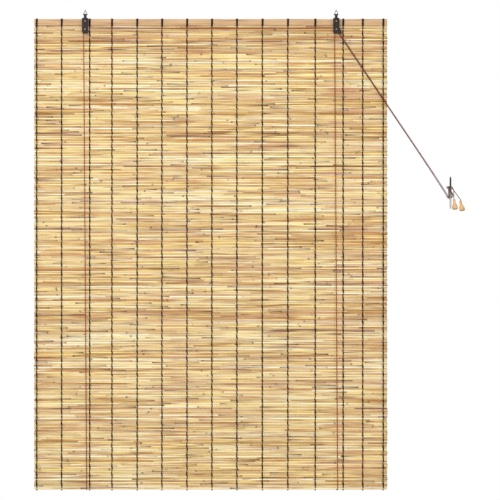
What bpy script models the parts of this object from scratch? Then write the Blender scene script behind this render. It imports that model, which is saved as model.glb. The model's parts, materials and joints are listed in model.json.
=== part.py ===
"""A reed roll-up blind. A mat of reeds under a hem batten hangs from two pulley blocks by wire bails, with
two looped lift cords, a cord lock, a wall cleat and two acorn pulls. Metres, +Z up, with the viewer at -Y
and the wall at +Y. The origin is the middle of the hanging line, where the hooks bear in the bails' tips."""

import math

import bmesh
import bpy
from mathutils import Matrix, Vector

CLEARANCE = 0.0003  # between pieces that touch
RUNNING = 0.0004  # extra radius round a pin or a screw

# The mat: reeds lie along X, and the panels that roll are joined at reed boundaries.
MAT_WIDTH = 1.200
MAT_TOP = -0.0292
REED_PITCH = 0.0056
REED_HALF_DEPTH = 0.0026
REED_FLAT = 0.0026  # height of a reed's flat in the solid
VALLEY_HALF_DEPTH = 0.0012
HEAD_REEDS = 77
PANEL_COUNT = 24
TOP_PANEL_REEDS = 12
PANELS_PER_SIZE = 3  # each three panels, one reed fewer
ROD_PANEL_REEDS = 4  # the panel above the rod is shorter, so that the rod rolls inside the core

# The hem batten and its thread bindings
BATTEN_HEIGHT = 0.022
BATTEN_DEPTH = 0.010
# The warp threads are woven by hand, so unevenly spaced. The gaps between them, from left to right, share
# what the two outer threads' distances from the mat's edges leave of its width.
WARP_GAPS = (84.8, 95.2, 75.7, 85.7, 84.6, 84.9, 84.6, 84.8, 87.0, 86.4, 92.9, 94.8, 66.6, 69.8)
WARP_EDGE_LEFT = 0.0085
WARP_EDGE_RIGHT = 0.0137
BINDING_WIDTH = 0.006
BINDING_THICKNESS = 0.0008
BINDING_LET_IN = 0.4  # share of the thickness by which the band is let in below, where the reeds press on it

ROD_DIAMETER = 0.008
ROD_GAP = 0.0010

# The pulley blocks
LEFT_BLOCK_WARP = 2  # each block stands to the left of the thread of this number, counted from 0
RIGHT_BLOCK_WARP = 12
LEFT_BLOCK_BESIDE = 0.0150  # from that thread to the block's middle
RIGHT_BLOCK_BESIDE = 0.0234
BLOCK_WIDTH = 0.021
BLOCK_TOP = -0.0261
BLOCK_BOTTOM = -0.0786
BLOCK_WALL = 0.0016
BLOCK_CORNER = 0.0045
BLOCK_BEVEL = 0.0010
CAVITY_TOP = -0.0545
LOCK_SLANT_TOP = -0.0558
LOCK_SLANT_BOTTOM = -0.0762
LOCK_REACH = 0.0083  # how much further the lock's foot reaches than the block's side
LOCK_TOE = 0.0008
CORD_WINDOW_HALF = 0.0024  # half the height of the opening where a cord crosses
LOCK_WINDOW_INNER = 0.0040
AXLE_Z = -0.0647
AXLE_RADIUS = 0.0015
AXLE_HEAD_RADIUS = 0.0024
SCREW_Z = -0.0371
SCREW_RADIUS = 0.0018
SCREW_HEAD_RADIUS = 0.0028
SCREW_HEAD_HEIGHT = 0.0020
SCREW_DEPTH = 0.007  # into the batten
SHEAVE_WIDTH = 0.0040
SHEAVE_GAP = 0.0004  # between the lock's two sheaves
SHEAVE_GROOVE_DEPTH = 0.0021
SHEAVE_HUB_WALL = 0.0009
SHEAVE_FLANGE = 0.00035
SHEAVE_FLANGE_RADIUS = 0.0057
ROLLER_RADIUS = 0.0022
ROLLER_TRAVEL = 0.0024
ROLLER_X = 0.0040  # from the block's middle
ROLLER_Z = -0.0747
ROLLER_PIN_RADIUS = 0.0009
ROLLER_LEAN = math.radians(24.8)  # the slot leans this far from upright

# The necks and bails
NECK_WIDTH = 0.0096
NECK_TOP = -0.0115
NECK_BACK = 0.0030
TONGUE_WIDTH = 0.0080
TONGUE_THICKNESS = 0.0020
TONGUE_BOTTOM = -0.0447
BAIL_WIRE = 0.0022
BAIL_BASE_Z = -0.0147
BAIL_HALF_WIDTH = 0.0073
BAIL_CORNER = 0.0016
BAIL_BEND = 0.28  # how far a bend's middle lies along the two wires' sum

# The cords
CORD = 0.0026
PULL_CORD = 0.0025
LIFT_BACK_INSET = 0.0055  # how much nearer to the middle a back strand hangs than its block
LIFT_BACK_STRAIGHT = 0.006  # a back strand hangs clear to this far below the batten
LIFT_BACK_SETTLES = 0.070  # and lies against the mat from here
LIFT_DRIFT = 0.0100  # a front strand leans this much to the right on its way down
LIFT_FRONT_SETTLES = 0.025  # below the block
LIFT_ENTERS = 0.008  # below the axle, where a front strand is in line with its groove
LOCK_EXIT_Z = -0.0805
LEFT_CORD_EXIT = 0.0130  # from the lock's middle to where a cord leaves its foot
RIGHT_CORD_EXIT = 0.0096
LEFT_CORD_LEAVES = 24.7  # the angle in degrees at which a cord leaves its sheave
RIGHT_CORD_LEAVES = 15.0
TACK_Z = -0.0402
TACK_SHANK_RADIUS = 0.0012
TACK_HEAD_RADIUS = 0.0040
TACK_HEAD_THICKNESS = 0.0014
TACK_DEPTH = 0.004

# The cleat on the wall, its cord turns and the acorns
WALL_Y = 0.022
CLEAT_X = 0.8145
CLEAT_Z = -0.6198
CLEAT_HALF_LENGTH = 0.0547
CLEAT_PLATE_HALF_LENGTH = 0.0220
CLEAT_PLATE_HALF_WIDTH = 0.0055
CLEAT_PLATE_THICKNESS = 0.0040
CLEAT_STEM_HALF_WIDTH = 0.0026
CLEAT_STEM_HALF_LENGTH = 0.0095
CLEAT_STEM_ROOT = 0.002  # how far the stem runs into the plate
CLEAT_BAR_Y = -0.0072
CLEAT_BAR_RADIUS = 0.00325
CLEAT_TIP_RADIUS = 0.0030
CLEAT_TIP_RISE = 0.0050
CLEAT_TIP_STARTS = 0.87  # share of a horn's length at which its tip starts to round off
CLEAT_SCREW_OFFSET = 0.0168
CLEAT_SCREW_RADIUS = 0.0017
CLEAT_SCREW_HEAD_RADIUS = 0.0030
CLEAT_SCREW_HEAD_HEIGHT = 0.0016
CLEAT_SCREW_LENGTH = 0.020
TURN_X = 0.8125  # where the cord's figure of eight crosses itself in the front view
TURN_Z = -0.6120
TURN_SKEW = 0.0060  # how much further its lower loop reaches than its upper one
TURN_START = math.radians(-45)
TURN_END = math.radians(198)
TURN_POINTS = 27
RUN_STEP = 0.090
TAIL_STEP = 0.005
ACORN_LENGTH = 0.035
ACORN_RADIUS = 0.0097
ACORN_Y = 0.0040
ACORN_LEFT_TOP = Vector((0.8277, ACORN_Y, -0.6419))
ACORN_RIGHT_TOP = Vector((0.8495, ACORN_Y, -0.6470))
ACORN_LEFT_LEAN = math.radians(6)
ACORN_RIGHT_LEAN = math.radians(11)

CUT_BEYOND = 0.002  # how far a cutter stands out of what it cuts

# Derived places
BATTEN_BOTTOM = MAT_TOP - BATTEN_HEIGHT
BATTEN_FRONT = -BATTEN_DEPTH / 2
BATTEN_BACK = BATTEN_DEPTH / 2
BLOCK_BACK = BATTEN_FRONT - CLEARANCE
BLOCK_DEPTH = 2 * (BLOCK_WALL + CLEARANCE + SHEAVE_WIDTH) + SHEAVE_GAP
BLOCK_FRONT = BLOCK_BACK - BLOCK_DEPTH
CAVITY_BACK = BLOCK_BACK - BLOCK_WALL
CAVITY_FRONT = BLOCK_FRONT + BLOCK_WALL
SHEAVE_Y = (CAVITY_BACK + CAVITY_FRONT) / 2
REAR_SHEAVE_Y = CAVITY_BACK - CLEARANCE - SHEAVE_WIDTH / 2
FRONT_SHEAVE_Y = CAVITY_FRONT + CLEARANCE + SHEAVE_WIDTH / 2
GROOVE_RADIUS = SHEAVE_FLANGE_RADIUS - SHEAVE_GROOVE_DEPTH
CORD_TURN_RADIUS = GROOVE_RADIUS + CLEARANCE + CORD / 2
HEAD_TOP = BATTEN_BOTTOM - CLEARANCE
HINGE_TOP = BATTEN_BOTTOM - HEAD_REEDS * REED_PITCH
HINGE_Y = -VALLEY_HALF_DEPTH
TACK_TURN_RADIUS = TACK_SHANK_RADIUS + CLEARANCE + CORD / 2
TACK_ROOM = 2 * (CORD + 2 * CLEARANCE)
CORNERS = ((-1, -1), (1, -1), (1, 1), (-1, 1))

BAMBOO = (0.66, 0.47, 0.23, 1)
PINE = (0.70, 0.50, 0.27, 1)
BLACK_STEEL = (0.045, 0.038, 0.042, 1)
GREY_STEEL = (0.36, 0.35, 0.34, 1)
BRIGHT_STEEL = (0.60, 0.59, 0.56, 1)
CORD_BROWN = (0.33, 0.12, 0.04, 1)
ACORN_WOOD = (0.75, 0.50, 0.24, 1)
NYLON = (0.10, 0.10, 0.09, 1)


def material(name, colour, roughness, metallic=0.0):
    made = bpy.data.materials.new(name)
    made.use_nodes = True
    shader = made.node_tree.nodes["Principled BSDF"]
    shader.inputs["Base Color"].default_value = colour
    shader.inputs["Roughness"].default_value = roughness
    shader.inputs["Metallic"].default_value = metallic
    return made


def place(name, bm, at, look, parent=None, smooth=False):
    """One object from a bmesh whose points are measured from the object's own origin, at."""
    bmesh.ops.remove_doubles(bm, verts=bm.verts, dist=1e-7)
    bmesh.ops.recalc_face_normals(bm, faces=bm.faces)
    mesh = bpy.data.meshes.new(name)
    bm.to_mesh(mesh)
    bm.free()
    mesh.materials.append(look)
    if smooth:
        mesh.shade_smooth()
        mesh.set_sharp_from_angle(angle=math.radians(40))
    obj = bpy.data.objects.new(name, mesh)
    bpy.context.collection.objects.link(obj)
    obj.parent = parent
    obj.location = Vector(at) - (parent_place(parent) if parent else Vector())
    return obj


def parent_place(obj):
    return obj.location + (parent_place(obj.parent) if obj.parent else Vector())


def add_prism(bm, outline, to_point, low, high):
    """Draws an outline of (u, v) points out from low to high. to_point turns (u, v, w) into a point."""
    ends = [[bm.verts.new(to_point(u, v, w)) for u, v in outline] for w in (low, high)]
    for i in range(len(outline)):
        j = (i + 1) % len(outline)
        bm.faces.new((ends[0][i], ends[0][j], ends[1][j], ends[1][i]))
    bm.faces.new(list(reversed(ends[0])))
    bm.faces.new(ends[1])


def along_x(u, v, w):
    return w, u, v


def along_y(u, v, w):
    return u, w, v


def prism(outline, to_point, low, high):
    bm = bmesh.new()
    add_prism(bm, outline, to_point, low, high)
    return bm


def box(low, high):
    outline = [(low[1], low[2]), (high[1], low[2]), (high[1], high[2]), (low[1], high[2])]
    return prism(outline, along_x, low[0], high[0])


def disc(radius, sides, centre=(0.0, 0.0)):
    turn = 2 * math.pi / sides
    return [
        (centre[0] + radius * math.cos(i * turn), centre[1] + radius * math.sin(i * turn))
        for i in range(sides)
    ]


def turned(profile, sides, ring=False):
    """A solid turned about its own Y axis from (radius, along) points, with flat ends or a bore."""
    bm = bmesh.new()
    rings = [[bm.verts.new(along_y(u, v, y)) for u, v in disc(radius, sides)] for radius, y in profile]
    if ring:
        rings.append(rings[0])
    for a, b in zip(rings, rings[1:]):
        for i in range(sides):
            j = (i + 1) % sides
            bm.faces.new((a[i], a[j], b[j], b[i]))
    if not ring:
        bm.faces.new(list(reversed(rings[0])))
        bm.faces.new(rings[-1])
    return bm


def cutter(name, bm, at):
    """A helper that a Boolean subtracts, and that isn't part of the blind."""
    obj = place(name, bm, at, CUTTER_LOOK)
    obj.hide_render = True
    obj.display_type = "WIRE"
    return obj


def combine(obj, other, operation="DIFFERENCE"):
    modifier = obj.modifiers.new(other.name, "BOOLEAN")
    modifier.operation = operation
    modifier.solver = "EXACT"
    modifier.object = other


def hole_along_y(name, at, radius, front, back, sides=12):
    """A cutter for a round hole along Y, from front to back."""
    return cutter(name, prism(disc(radius, sides), along_y, front - at[1], back - at[1]), at)


def empty(name, at, parent=None):
    obj = bpy.data.objects.new(name, None)
    obj.empty_display_size = 0.02
    bpy.context.collection.objects.link(obj)
    obj.parent = parent
    obj.location = Vector(at) - (parent_place(parent) if parent else Vector())
    return obj


def warp_places():
    """Where the warp threads stand along X."""
    share = (MAT_WIDTH - WARP_EDGE_LEFT - WARP_EDGE_RIGHT) / sum(WARP_GAPS)
    places = [WARP_EDGE_LEFT - MAT_WIDTH / 2]
    for gap in WARP_GAPS:
        places.append(places[-1] + gap * share)
    return places


def reed_outline(reeds, top, bottom):
    """A mat panel's section as (y, z): each reed is a flat between two valleys, in front and behind."""
    heights = []
    for i in range(reeds):
        middle = -(i + 0.5) * REED_PITCH
        heights.append((VALLEY_HALF_DEPTH, -i * REED_PITCH if i else top))
        heights.append((REED_HALF_DEPTH, middle + REED_FLAT / 2))
        heights.append((REED_HALF_DEPTH, middle - REED_FLAT / 2))
    heights.append((VALLEY_HALF_DEPTH, bottom))
    return [(-y, z) for y, z in heights] + [(y, z) for y, z in reversed(heights)]


def panel_reeds(number):
    """How many reeds the panel of this number has, counted down from 1 under the fixed head."""
    if number == PANEL_COUNT:
        return ROD_PANEL_REEDS
    return TOP_PANEL_REEDS - (number - 1) // PANELS_PER_SIZE


def hinge_heights():
    """The height of each panel's hinge, and last the mat's lower edge."""
    heights = [HINGE_TOP]
    for number in range(1, PANEL_COUNT + 1):
        heights.append(heights[-1] - panel_reeds(number) * REED_PITCH)
    return heights


def make_mat(head):
    """The fixed head of the mat, the panels that roll and the bottom rod, as a chain of parents."""
    half = MAT_WIDTH / 2
    outline = reed_outline(HEAD_REEDS, HEAD_TOP - BATTEN_BOTTOM, CLEARANCE / 2 - HEAD_REEDS * REED_PITCH)
    place("mat_head_panel", prism(outline, along_x, -half, half), (0, 0, BATTEN_BOTTOM), REED_LOOK, head)
    heights = hinge_heights()
    above = head
    for number in range(1, PANEL_COUNT + 1):
        reeds = panel_reeds(number)
        outline = reed_outline(reeds, -CLEARANCE / 2, CLEARANCE / 2 - reeds * REED_PITCH)
        outline = [(y - HINGE_Y, z) for y, z in outline]
        mesh = prism(outline, along_x, -half, half)
        at = (0, HINGE_Y, heights[number - 1])
        above = place(f"mat_panel_{number:02d}", mesh, at, REED_LOOK, above)
    rod_z = heights[-1] - ROD_GAP - ROD_DIAMETER / 2
    rod = prism(disc(ROD_DIAMETER / 2, 12), along_x, -half, half)
    place("bottom_rod", rod, (0, 0, rod_z), REED_LOOK, above, smooth=True)
    return rod_z


def make_batten(head):
    """The hem batten, with a raised band where each warp thread binds it to the mat."""
    bm = bmesh.new()
    places = [(-MAT_WIDTH / 2, 0.0)]
    for x in warp_places():
        left, right = x - BINDING_WIDTH / 2, x + BINDING_WIDTH / 2
        places += [(left, 0.0), (left, BINDING_THICKNESS), (right, BINDING_THICKNESS), (right, 0.0)]
    places.append((MAT_WIDTH / 2, 0.0))
    rings = []
    for x, out in places:
        y, top = BATTEN_DEPTH / 2 + out, BATTEN_HEIGHT / 2 + out
        bottom = BINDING_LET_IN * out - BATTEN_HEIGHT / 2
        rings.append([bm.verts.new((x, a * y, top if b > 0 else bottom)) for a, b in CORNERS])
    for a, b in zip(rings, rings[1:]):
        for i in range(4):
            j = (i + 1) % 4
            bm.faces.new((a[i], a[j], b[j], b[i]))
    bm.faces.new(list(reversed(rings[0])))
    bm.faces.new(rings[-1])
    batten = place("hem_batten", bm, (0, 0, MAT_TOP - BATTEN_HEIGHT / 2), PINE_LOOK, head)
    for side, x in SIDES:
        start, end = BATTEN_FRONT - CUT_BEYOND, BATTEN_FRONT + SCREW_DEPTH + CLEARANCE
        radius = SCREW_RADIUS + RUNNING
        combine(batten, hole_along_y(f"cut_{side}_batten_screw", (x, 0, SCREW_Z), radius, start, end))
        start, end = BATTEN_BACK - TACK_DEPTH - CLEARANCE, BATTEN_BACK + CUT_BEYOND
        radius = TACK_SHANK_RADIUS + CLEARANCE
        combine(batten, hole_along_y(f"cut_{side}_tack", (tack_x(x), 0, TACK_Z), radius, start, end))


def block_outline(lock):
    """A block's front view as (x from its middle, z), with rounded lower corners or the lock's foot."""
    half = BLOCK_WIDTH / 2
    left = []
    for degrees in (0, 30, 60, 90):
        a = math.radians(degrees)
        corner = (BLOCK_CORNER * (1 - math.sin(a)), BLOCK_CORNER * (1 - math.cos(a)))
        left.append((corner[0] - half, corner[1] + BLOCK_BOTTOM))
    if lock:
        right = [
            (half, LOCK_SLANT_TOP),
            (half + LOCK_REACH, LOCK_SLANT_BOTTOM),
            (half + LOCK_REACH - LOCK_TOE, BLOCK_BOTTOM),
        ]
    else:
        right = [(-x, z) for x, z in reversed(left)]
    shoulder, inner = BLOCK_TOP - BLOCK_BEVEL, half - BLOCK_BEVEL
    top = [(-half, shoulder), (-inner, BLOCK_TOP), (inner, BLOCK_TOP), (half, shoulder)]
    return left + top + right


def cavity_outline(lock):
    """The hollow that holds the sheaves, open at the bottom."""
    half = BLOCK_WIDTH / 2 - BLOCK_WALL
    below = BLOCK_BOTTOM - CUT_BEYOND
    right = [(half, CAVITY_TOP)]
    if lock:
        right += [(half, LOCK_SLANT_TOP), (half + LOCK_REACH, LOCK_SLANT_BOTTOM), (half + LOCK_REACH, below)]
    else:
        right.append((half, below))
    return [(-half, below), (-half, CAVITY_TOP)] + right


def roller_slot():
    """The slanted slot for the roller's pin, as (x from the block's middle, z)."""
    radius = ROLLER_PIN_RADIUS + CLEARANCE
    low = (ROLLER_X, ROLLER_Z)
    high = (low[0] - ROLLER_TRAVEL * math.sin(ROLLER_LEAN), low[1] + ROLLER_TRAVEL * math.cos(ROLLER_LEAN))
    outline = []
    for centre, start in ((low, math.pi), (high, 0.0)):
        for i in range(6):
            a = start + ROLLER_LEAN + i * math.pi / 5
            outline.append((centre[0] + radius * math.cos(a), centre[1] + radius * math.sin(a)))
    return outline


def make_block(side, x, head):
    """A pulley block: housing, neck, fixing screw and axle. The right one is also the cord lock."""
    lock = side == "right"
    through = (BLOCK_FRONT - CUT_BEYOND, BLOCK_BACK + CUT_BEYOND)
    mesh = prism(block_outline(lock), along_y, BLOCK_FRONT, BLOCK_BACK)
    housing = place(f"{side}_pulley_housing", mesh, (x, 0, 0), HOUSING_LOOK, head)
    cavity = prism(cavity_outline(lock), along_y, CAVITY_FRONT, CAVITY_BACK)
    combine(housing, cutter(f"cut_{side}_cavity", cavity, (x, 0, 0)))
    outer = BLOCK_WIDTH / 2 + CUT_BEYOND
    inner = BLOCK_WIDTH / 2 - BLOCK_WALL - BLOCK_BEVEL
    if lock:
        inner, outer = -outer, -LOCK_WINDOW_INNER
    cord_z = AXLE_Z + CORD_TURN_RADIUS
    low = (inner, CAVITY_FRONT, cord_z - CORD_WINDOW_HALF)
    high = (outer, CAVITY_BACK, cord_z + CORD_WINDOW_HALF)
    combine(housing, cutter(f"cut_{side}_window", box(low, high), (x, 0, 0)))
    for word, z, radius in (("axle", AXLE_Z, AXLE_RADIUS), ("screw", SCREW_Z, SCREW_RADIUS)):
        hole = hole_along_y(f"cut_{side}_{word}", (x, 0, z), radius + RUNNING, *through)
        combine(housing, hole)
    half = TONGUE_WIDTH / 2 + CLEARANCE
    low = (-half, BLOCK_BACK - TONGUE_THICKNESS - CLEARANCE, TONGUE_BOTTOM - CLEARANCE)
    high = (half, BLOCK_BACK + CUT_BEYOND, BLOCK_TOP + CUT_BEYOND)
    combine(housing, cutter(f"cut_{side}_tongue", box(low, high), (x, 0, 0)))
    if lock:
        combine(housing, cutter("cut_roller_slot", prism(roller_slot(), along_y, *through), (x, 0, 0)))
    make_neck(side, x, head)

    head_back = BLOCK_FRONT - CLEARANCE
    screw = [
        (SCREW_HEAD_RADIUS * 0.72, head_back - SCREW_HEAD_HEIGHT),
        (SCREW_HEAD_RADIUS, head_back - SCREW_HEAD_HEIGHT * 0.45),
        (SCREW_HEAD_RADIUS, head_back),
        (SCREW_RADIUS, head_back),
        (SCREW_RADIUS, BATTEN_FRONT + SCREW_DEPTH - 0.002),
        (SCREW_RADIUS * 0.3, BATTEN_FRONT + SCREW_DEPTH),
    ]
    place(f"{side}_fixing_screw", turned(screw, 12), (x, 0, SCREW_Z), BRIGHT_LOOK, head, smooth=True)
    axle = [
        (AXLE_HEAD_RADIUS * 0.7, head_back - 0.0012),
        (AXLE_HEAD_RADIUS, head_back - 0.0006),
        (AXLE_HEAD_RADIUS, head_back),
        (AXLE_RADIUS, head_back),
        (AXLE_RADIUS, BLOCK_BACK - CLEARANCE),
    ]
    place(f"{side}_axle", turned(axle, 12), (x, 0, AXLE_Z), BRIGHT_LOOK, head, smooth=True)


def make_neck(side, x, head):
    """The neck: an eye round the bail's base wire, over a tongue between the block and the batten."""
    tongue_back = BLOCK_BACK - CLEARANCE
    tongue_front = BLOCK_BACK - TONGUE_THICKNESS
    eye_bottom = BLOCK_TOP + CLEARANCE
    outline = [
        (tongue_front, TONGUE_BOTTOM),
        (tongue_back, TONGUE_BOTTOM),
        (tongue_back, eye_bottom),
        (NECK_BACK, eye_bottom),
        (NECK_BACK, NECK_TOP - 0.0015),
        (NECK_BACK - 0.0015, NECK_TOP),
        (tongue_front + 0.0025, NECK_TOP),
        (tongue_front, NECK_TOP - 0.0035),
    ]
    half = NECK_WIDTH / 2
    outer = half + CUT_BEYOND
    neck = place(f"{side}_neck", prism(outline, along_x, -half, half), (x, 0, 0), NECK_LOOK, head)
    wire = prism(disc(BAIL_WIRE / 2 + RUNNING, 12, (0.0, BAIL_BASE_Z)), along_x, -outer, outer)
    combine(neck, cutter(f"cut_{side}_neck_eye", wire, (x, 0, 0)))
    front, back = tongue_front - CUT_BEYOND, tongue_back + CUT_BEYOND
    for word, sign in (("left", -1), ("right", 1)):
        near, far = sorted((sign * TONGUE_WIDTH / 2, sign * outer))
        trim = box((near, front, TONGUE_BOTTOM - CUT_BEYOND), (far, back, eye_bottom))
        combine(neck, cutter(f"cut_{side}_neck_{word}", trim, (x, 0, 0)))
    radius = SCREW_RADIUS + RUNNING
    combine(neck, hole_along_y(f"cut_{side}_neck_screw", (x, 0, SCREW_Z), radius, front, back))


def make_bail(side, x):
    """A triangular wire bail with rounded corners, closed on itself."""
    tip = (0.0, BAIL_WIRE / 2 + BAIL_CORNER * 0.75)
    corners = [Vector((-BAIL_HALF_WIDTH, BAIL_BASE_Z)), Vector((BAIL_HALF_WIDTH, BAIL_BASE_Z)), Vector(tip)]
    path = []
    for i, here in enumerate(corners):
        to_last = (corners[i - 1] - here).normalized() * BAIL_CORNER
        to_next = (corners[(i + 1) % 3] - here).normalized() * BAIL_CORNER
        path += [here + to_last, here + (to_last + to_next) * BAIL_BEND, here + to_next]
    bm = bmesh.new()
    rings = []
    for i, here in enumerate(path):
        ahead = (path[(i + 1) % len(path)] - path[i - 1]).normalized()
        out = Vector((ahead.y, -ahead.x))
        rings.append(
            [bm.verts.new((here.x + out.x * u, v, here.y + out.y * u)) for u, v in disc(BAIL_WIRE / 2, 8)]
        )
    for a, b in zip(rings, rings[1:] + rings[:1]):
        for i in range(8):
            j = (i + 1) % 8
            bm.faces.new((a[i], a[j], b[j], b[i]))
    place(f"{side}_bail", bm, (x, 0, 0), GREY_LOOK, smooth=True)


def make_sheave(name, x, y, hub, head):
    """A grooved sheave with a bore for the axle, turning about Y."""
    bore = AXLE_RADIUS + RUNNING
    hub_radius = bore + SHEAVE_HUB_WALL
    w, h = SHEAVE_WIDTH / 2, hub / 2
    groove = w - SHEAVE_FLANGE
    profile = [(bore, -h), (hub_radius, -h), (hub_radius, -w)] if h > w else [(bore, -w)]
    profile += [
        (SHEAVE_FLANGE_RADIUS, -w),
        (SHEAVE_FLANGE_RADIUS, -groove),
        (GROOVE_RADIUS, -groove),
        (GROOVE_RADIUS, groove),
        (SHEAVE_FLANGE_RADIUS, groove),
        (SHEAVE_FLANGE_RADIUS, w),
    ]
    profile += [(hub_radius, w), (hub_radius, h), (bore, h)] if h > w else [(bore, w)]
    place(name, turned(profile, 16, ring=True), (x, y, AXLE_Z), NYLON_LOOK, head, smooth=True)


def make_lock_roller(head):
    """The roller that grips the cords, on the pin that slides in the housing's slanted slots."""
    at = (LOCK_X + ROLLER_X, 0, ROLLER_Z)
    bore = ROLLER_PIN_RADIUS + CLEARANCE
    front, back = CAVITY_FRONT + CLEARANCE, CAVITY_BACK - CLEARANCE
    profile = [(bore, front), (ROLLER_RADIUS, front), (ROLLER_RADIUS, back), (bore, back)]
    place("lock_roller", turned(profile, 16, ring=True), at, GREY_LOOK, head, smooth=True)
    pin = [(ROLLER_PIN_RADIUS, BLOCK_FRONT - 0.0006), (ROLLER_PIN_RADIUS, BLOCK_BACK)]
    place("lock_pin", turned(pin, 12), at, BRIGHT_LOOK, head, smooth=True)


def tack_x(x):
    """Where the tack of the pulley at x stands: the cord leaves its left side straight down."""
    return x - math.copysign(LIFT_BACK_INSET, x) + TACK_TURN_RADIUS


def make_tack(side, x, head):
    """A round-headed tack in the batten's back, which a lift cord's end is tied to."""
    end = BATTEN_BACK + TACK_ROOM
    profile = [
        (TACK_SHANK_RADIUS, BATTEN_BACK - TACK_DEPTH),
        (TACK_SHANK_RADIUS, end),
        (TACK_HEAD_RADIUS, end),
        (TACK_HEAD_RADIUS * 0.8, end + TACK_HEAD_THICKNESS * 0.6),
        (TACK_HEAD_RADIUS * 0.4, end + TACK_HEAD_THICKNESS),
    ]
    place(f"{side}_cord_tack", turned(profile, 12), (tack_x(x), 0, TACK_Z), BRIGHT_LOOK, head, smooth=True)


def smooth_route(points, step):
    """Points about step apart on a centripetal Catmull-Rom curve through the route's own points."""
    route = [Vector(p) for p in points]
    route = [2 * route[0] - route[1]] + route + [2 * route[-1] - route[-2]]
    found = []
    for a, b, c, d in zip(route, route[1:], route[2:], route[3:]):
        knots = [0.0]
        for p, q in ((a, b), (b, c), (c, d)):
            knots.append(knots[-1] + math.sqrt((q - p).length))
        count = max(1, math.ceil((c - b).length / step))
        for i in range(count):
            t = knots[1] + (knots[2] - knots[1]) * i / count
            line = [a, b, c, d]
            for level in (1, 2, 3):
                line = [
                    between(line[j], line[j + 1], t, *knot_pair(knots, j, level)) for j in range(4 - level)
                ]
            found.append(line[0])
    return found + [route[-2]]


def knot_pair(knots, j, level):
    """The knots that a Catmull-Rom level mixes between."""
    if level == 1:
        return knots[j], knots[j + 1]
    if level == 2:
        return knots[j], knots[j + 2]
    return knots[1], knots[2]


def between(p, q, t, low, high):
    return p * ((high - t) / (high - low)) + q * ((t - low) / (high - low))


def tube(name, points, diameter, look, parent=None):
    """A cord as a curve with a round bevel and filled ends."""
    curve = bpy.data.curves.new(name, "CURVE")
    curve.dimensions = "3D"
    curve.bevel_depth = diameter / 2
    curve.bevel_resolution = 2
    curve.use_fill_caps = True
    spline = curve.splines.new("POLY")
    spline.points.add(len(points) - 1)
    for target, point in zip(spline.points, points):
        target.co = (*point, 1.0)
    curve.materials.append(look)
    obj = bpy.data.objects.new(name, curve)
    bpy.context.collection.objects.link(obj)
    obj.parent = parent
    obj.location = -parent_place(parent) if parent else Vector()
    return obj


def arc(centre, radius, start, end, count, to_point):
    """Points from start to end degrees. to_point turns (across, up) from the centre into a point."""
    points = []
    for i in range(count + 1):
        a = math.radians(start + (end - start) * i / count)
        points.append(Vector(centre) + Vector(to_point(radius * math.cos(a), radius * math.sin(a))))
    return points


def in_front_view(u, v):
    return u, 0, v


def in_side_view(u, v):
    return 0, u, v


def lift_route(x, rod_z):
    """A lift cord from its tack down the back of the mat, round the rod and up the front to its block."""
    back_x = x - math.copysign(LIFT_BACK_INSET, x)
    turns = arc((tack_x(x), 0, TACK_Z), TACK_TURN_RADIUS, -120, 180, 10, in_front_view)
    start_y = BATTEN_BACK + TACK_ROOM - CLEARANCE - CORD / 2
    end_y = BATTEN_BACK + CLEARANCE + CORD / 2
    for i, point in enumerate(turns):
        point.y = start_y + (end_y - start_y) * i / (len(turns) - 1)
    below_rod = ROD_DIAMETER / 2 + CLEARANCE + CORD / 2
    front_x = x - CORD_TURN_RADIUS + LIFT_DRIFT
    under = arc((back_x, 0, rod_z), below_rod, 0, -180, 6, in_side_view)
    for i, point in enumerate(under):
        point.x += (front_x - back_x) * i / (len(under) - 1)
    clear_of_batten = Vector((back_x, end_y, BATTEN_BOTTOM - LIFT_BACK_STRAIGHT))
    against_mat = Vector((back_x, below_rod, BATTEN_BOTTOM - LIFT_BACK_SETTLES))
    return turns + [clear_of_batten, against_mat] + under


def make_cords(head, rod_z):
    """The two lift cords. The left one crosses to the lock, and both leave its foot."""
    rising_z = BLOCK_BOTTOM - LIFT_FRONT_SETTLES
    for side, x in SIDES:
        y = SHEAVE_Y if side == "left" else REAR_SHEAVE_Y
        route = lift_route(x, rod_z)
        up_x = x - CORD_TURN_RADIUS
        route.append(Vector((up_x, route[-1].y, rising_z)))
        route.append(Vector((up_x, y, AXLE_Z - LIFT_ENTERS)))
        if side == "left":
            route += arc((x, y, AXLE_Z), CORD_TURN_RADIUS, 180, 90, 5, in_front_view)
            lock = (LOCK_X, FRONT_SHEAVE_Y, AXLE_Z)
            route += arc(lock, CORD_TURN_RADIUS, 90, LEFT_CORD_LEAVES, 4, in_front_view)
            route.append(Vector((LOCK_X + LEFT_CORD_EXIT, FRONT_SHEAVE_Y, LOCK_EXIT_Z)))
        else:
            route += arc((x, y, AXLE_Z), CORD_TURN_RADIUS, 180, RIGHT_CORD_LEAVES, 8, in_front_view)
            route.append(Vector((LOCK_X + RIGHT_CORD_EXIT, REAR_SHEAVE_Y, LOCK_EXIT_Z)))
        tube(f"lift_cord_{side}", route, CORD, CORD_LOOK, head)


def cleat_turns(half_width, half_height, half_depth):
    """The cord's figure of eight: behind the lower horn, over the bar's front and behind the upper horn."""
    points = []
    for i in range(TURN_POINTS + 1):
        a = TURN_START + (TURN_END - TURN_START) * i / TURN_POINTS
        x = TURN_X + half_width * math.sin(2 * a)
        y = CLEAT_BAR_Y + half_depth * math.cos(2 * a)
        z = TURN_Z - half_height * math.cos(a) - TURN_SKEW * math.cos(a) ** 2
        points.append((x, y, z))
    return points


def cord_points(route, turns, tail):
    """A pull cord's straight run, its turns and its tail as one line of points."""
    run = smooth_route(route + turns[:1], RUN_STEP)
    return run[:-1] + turns[:-1] + smooth_route(turns[-1:] + tail, TAIL_STEP)


def acorn_up(lean):
    return Vector((-math.sin(lean), 0, math.cos(lean)))


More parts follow.
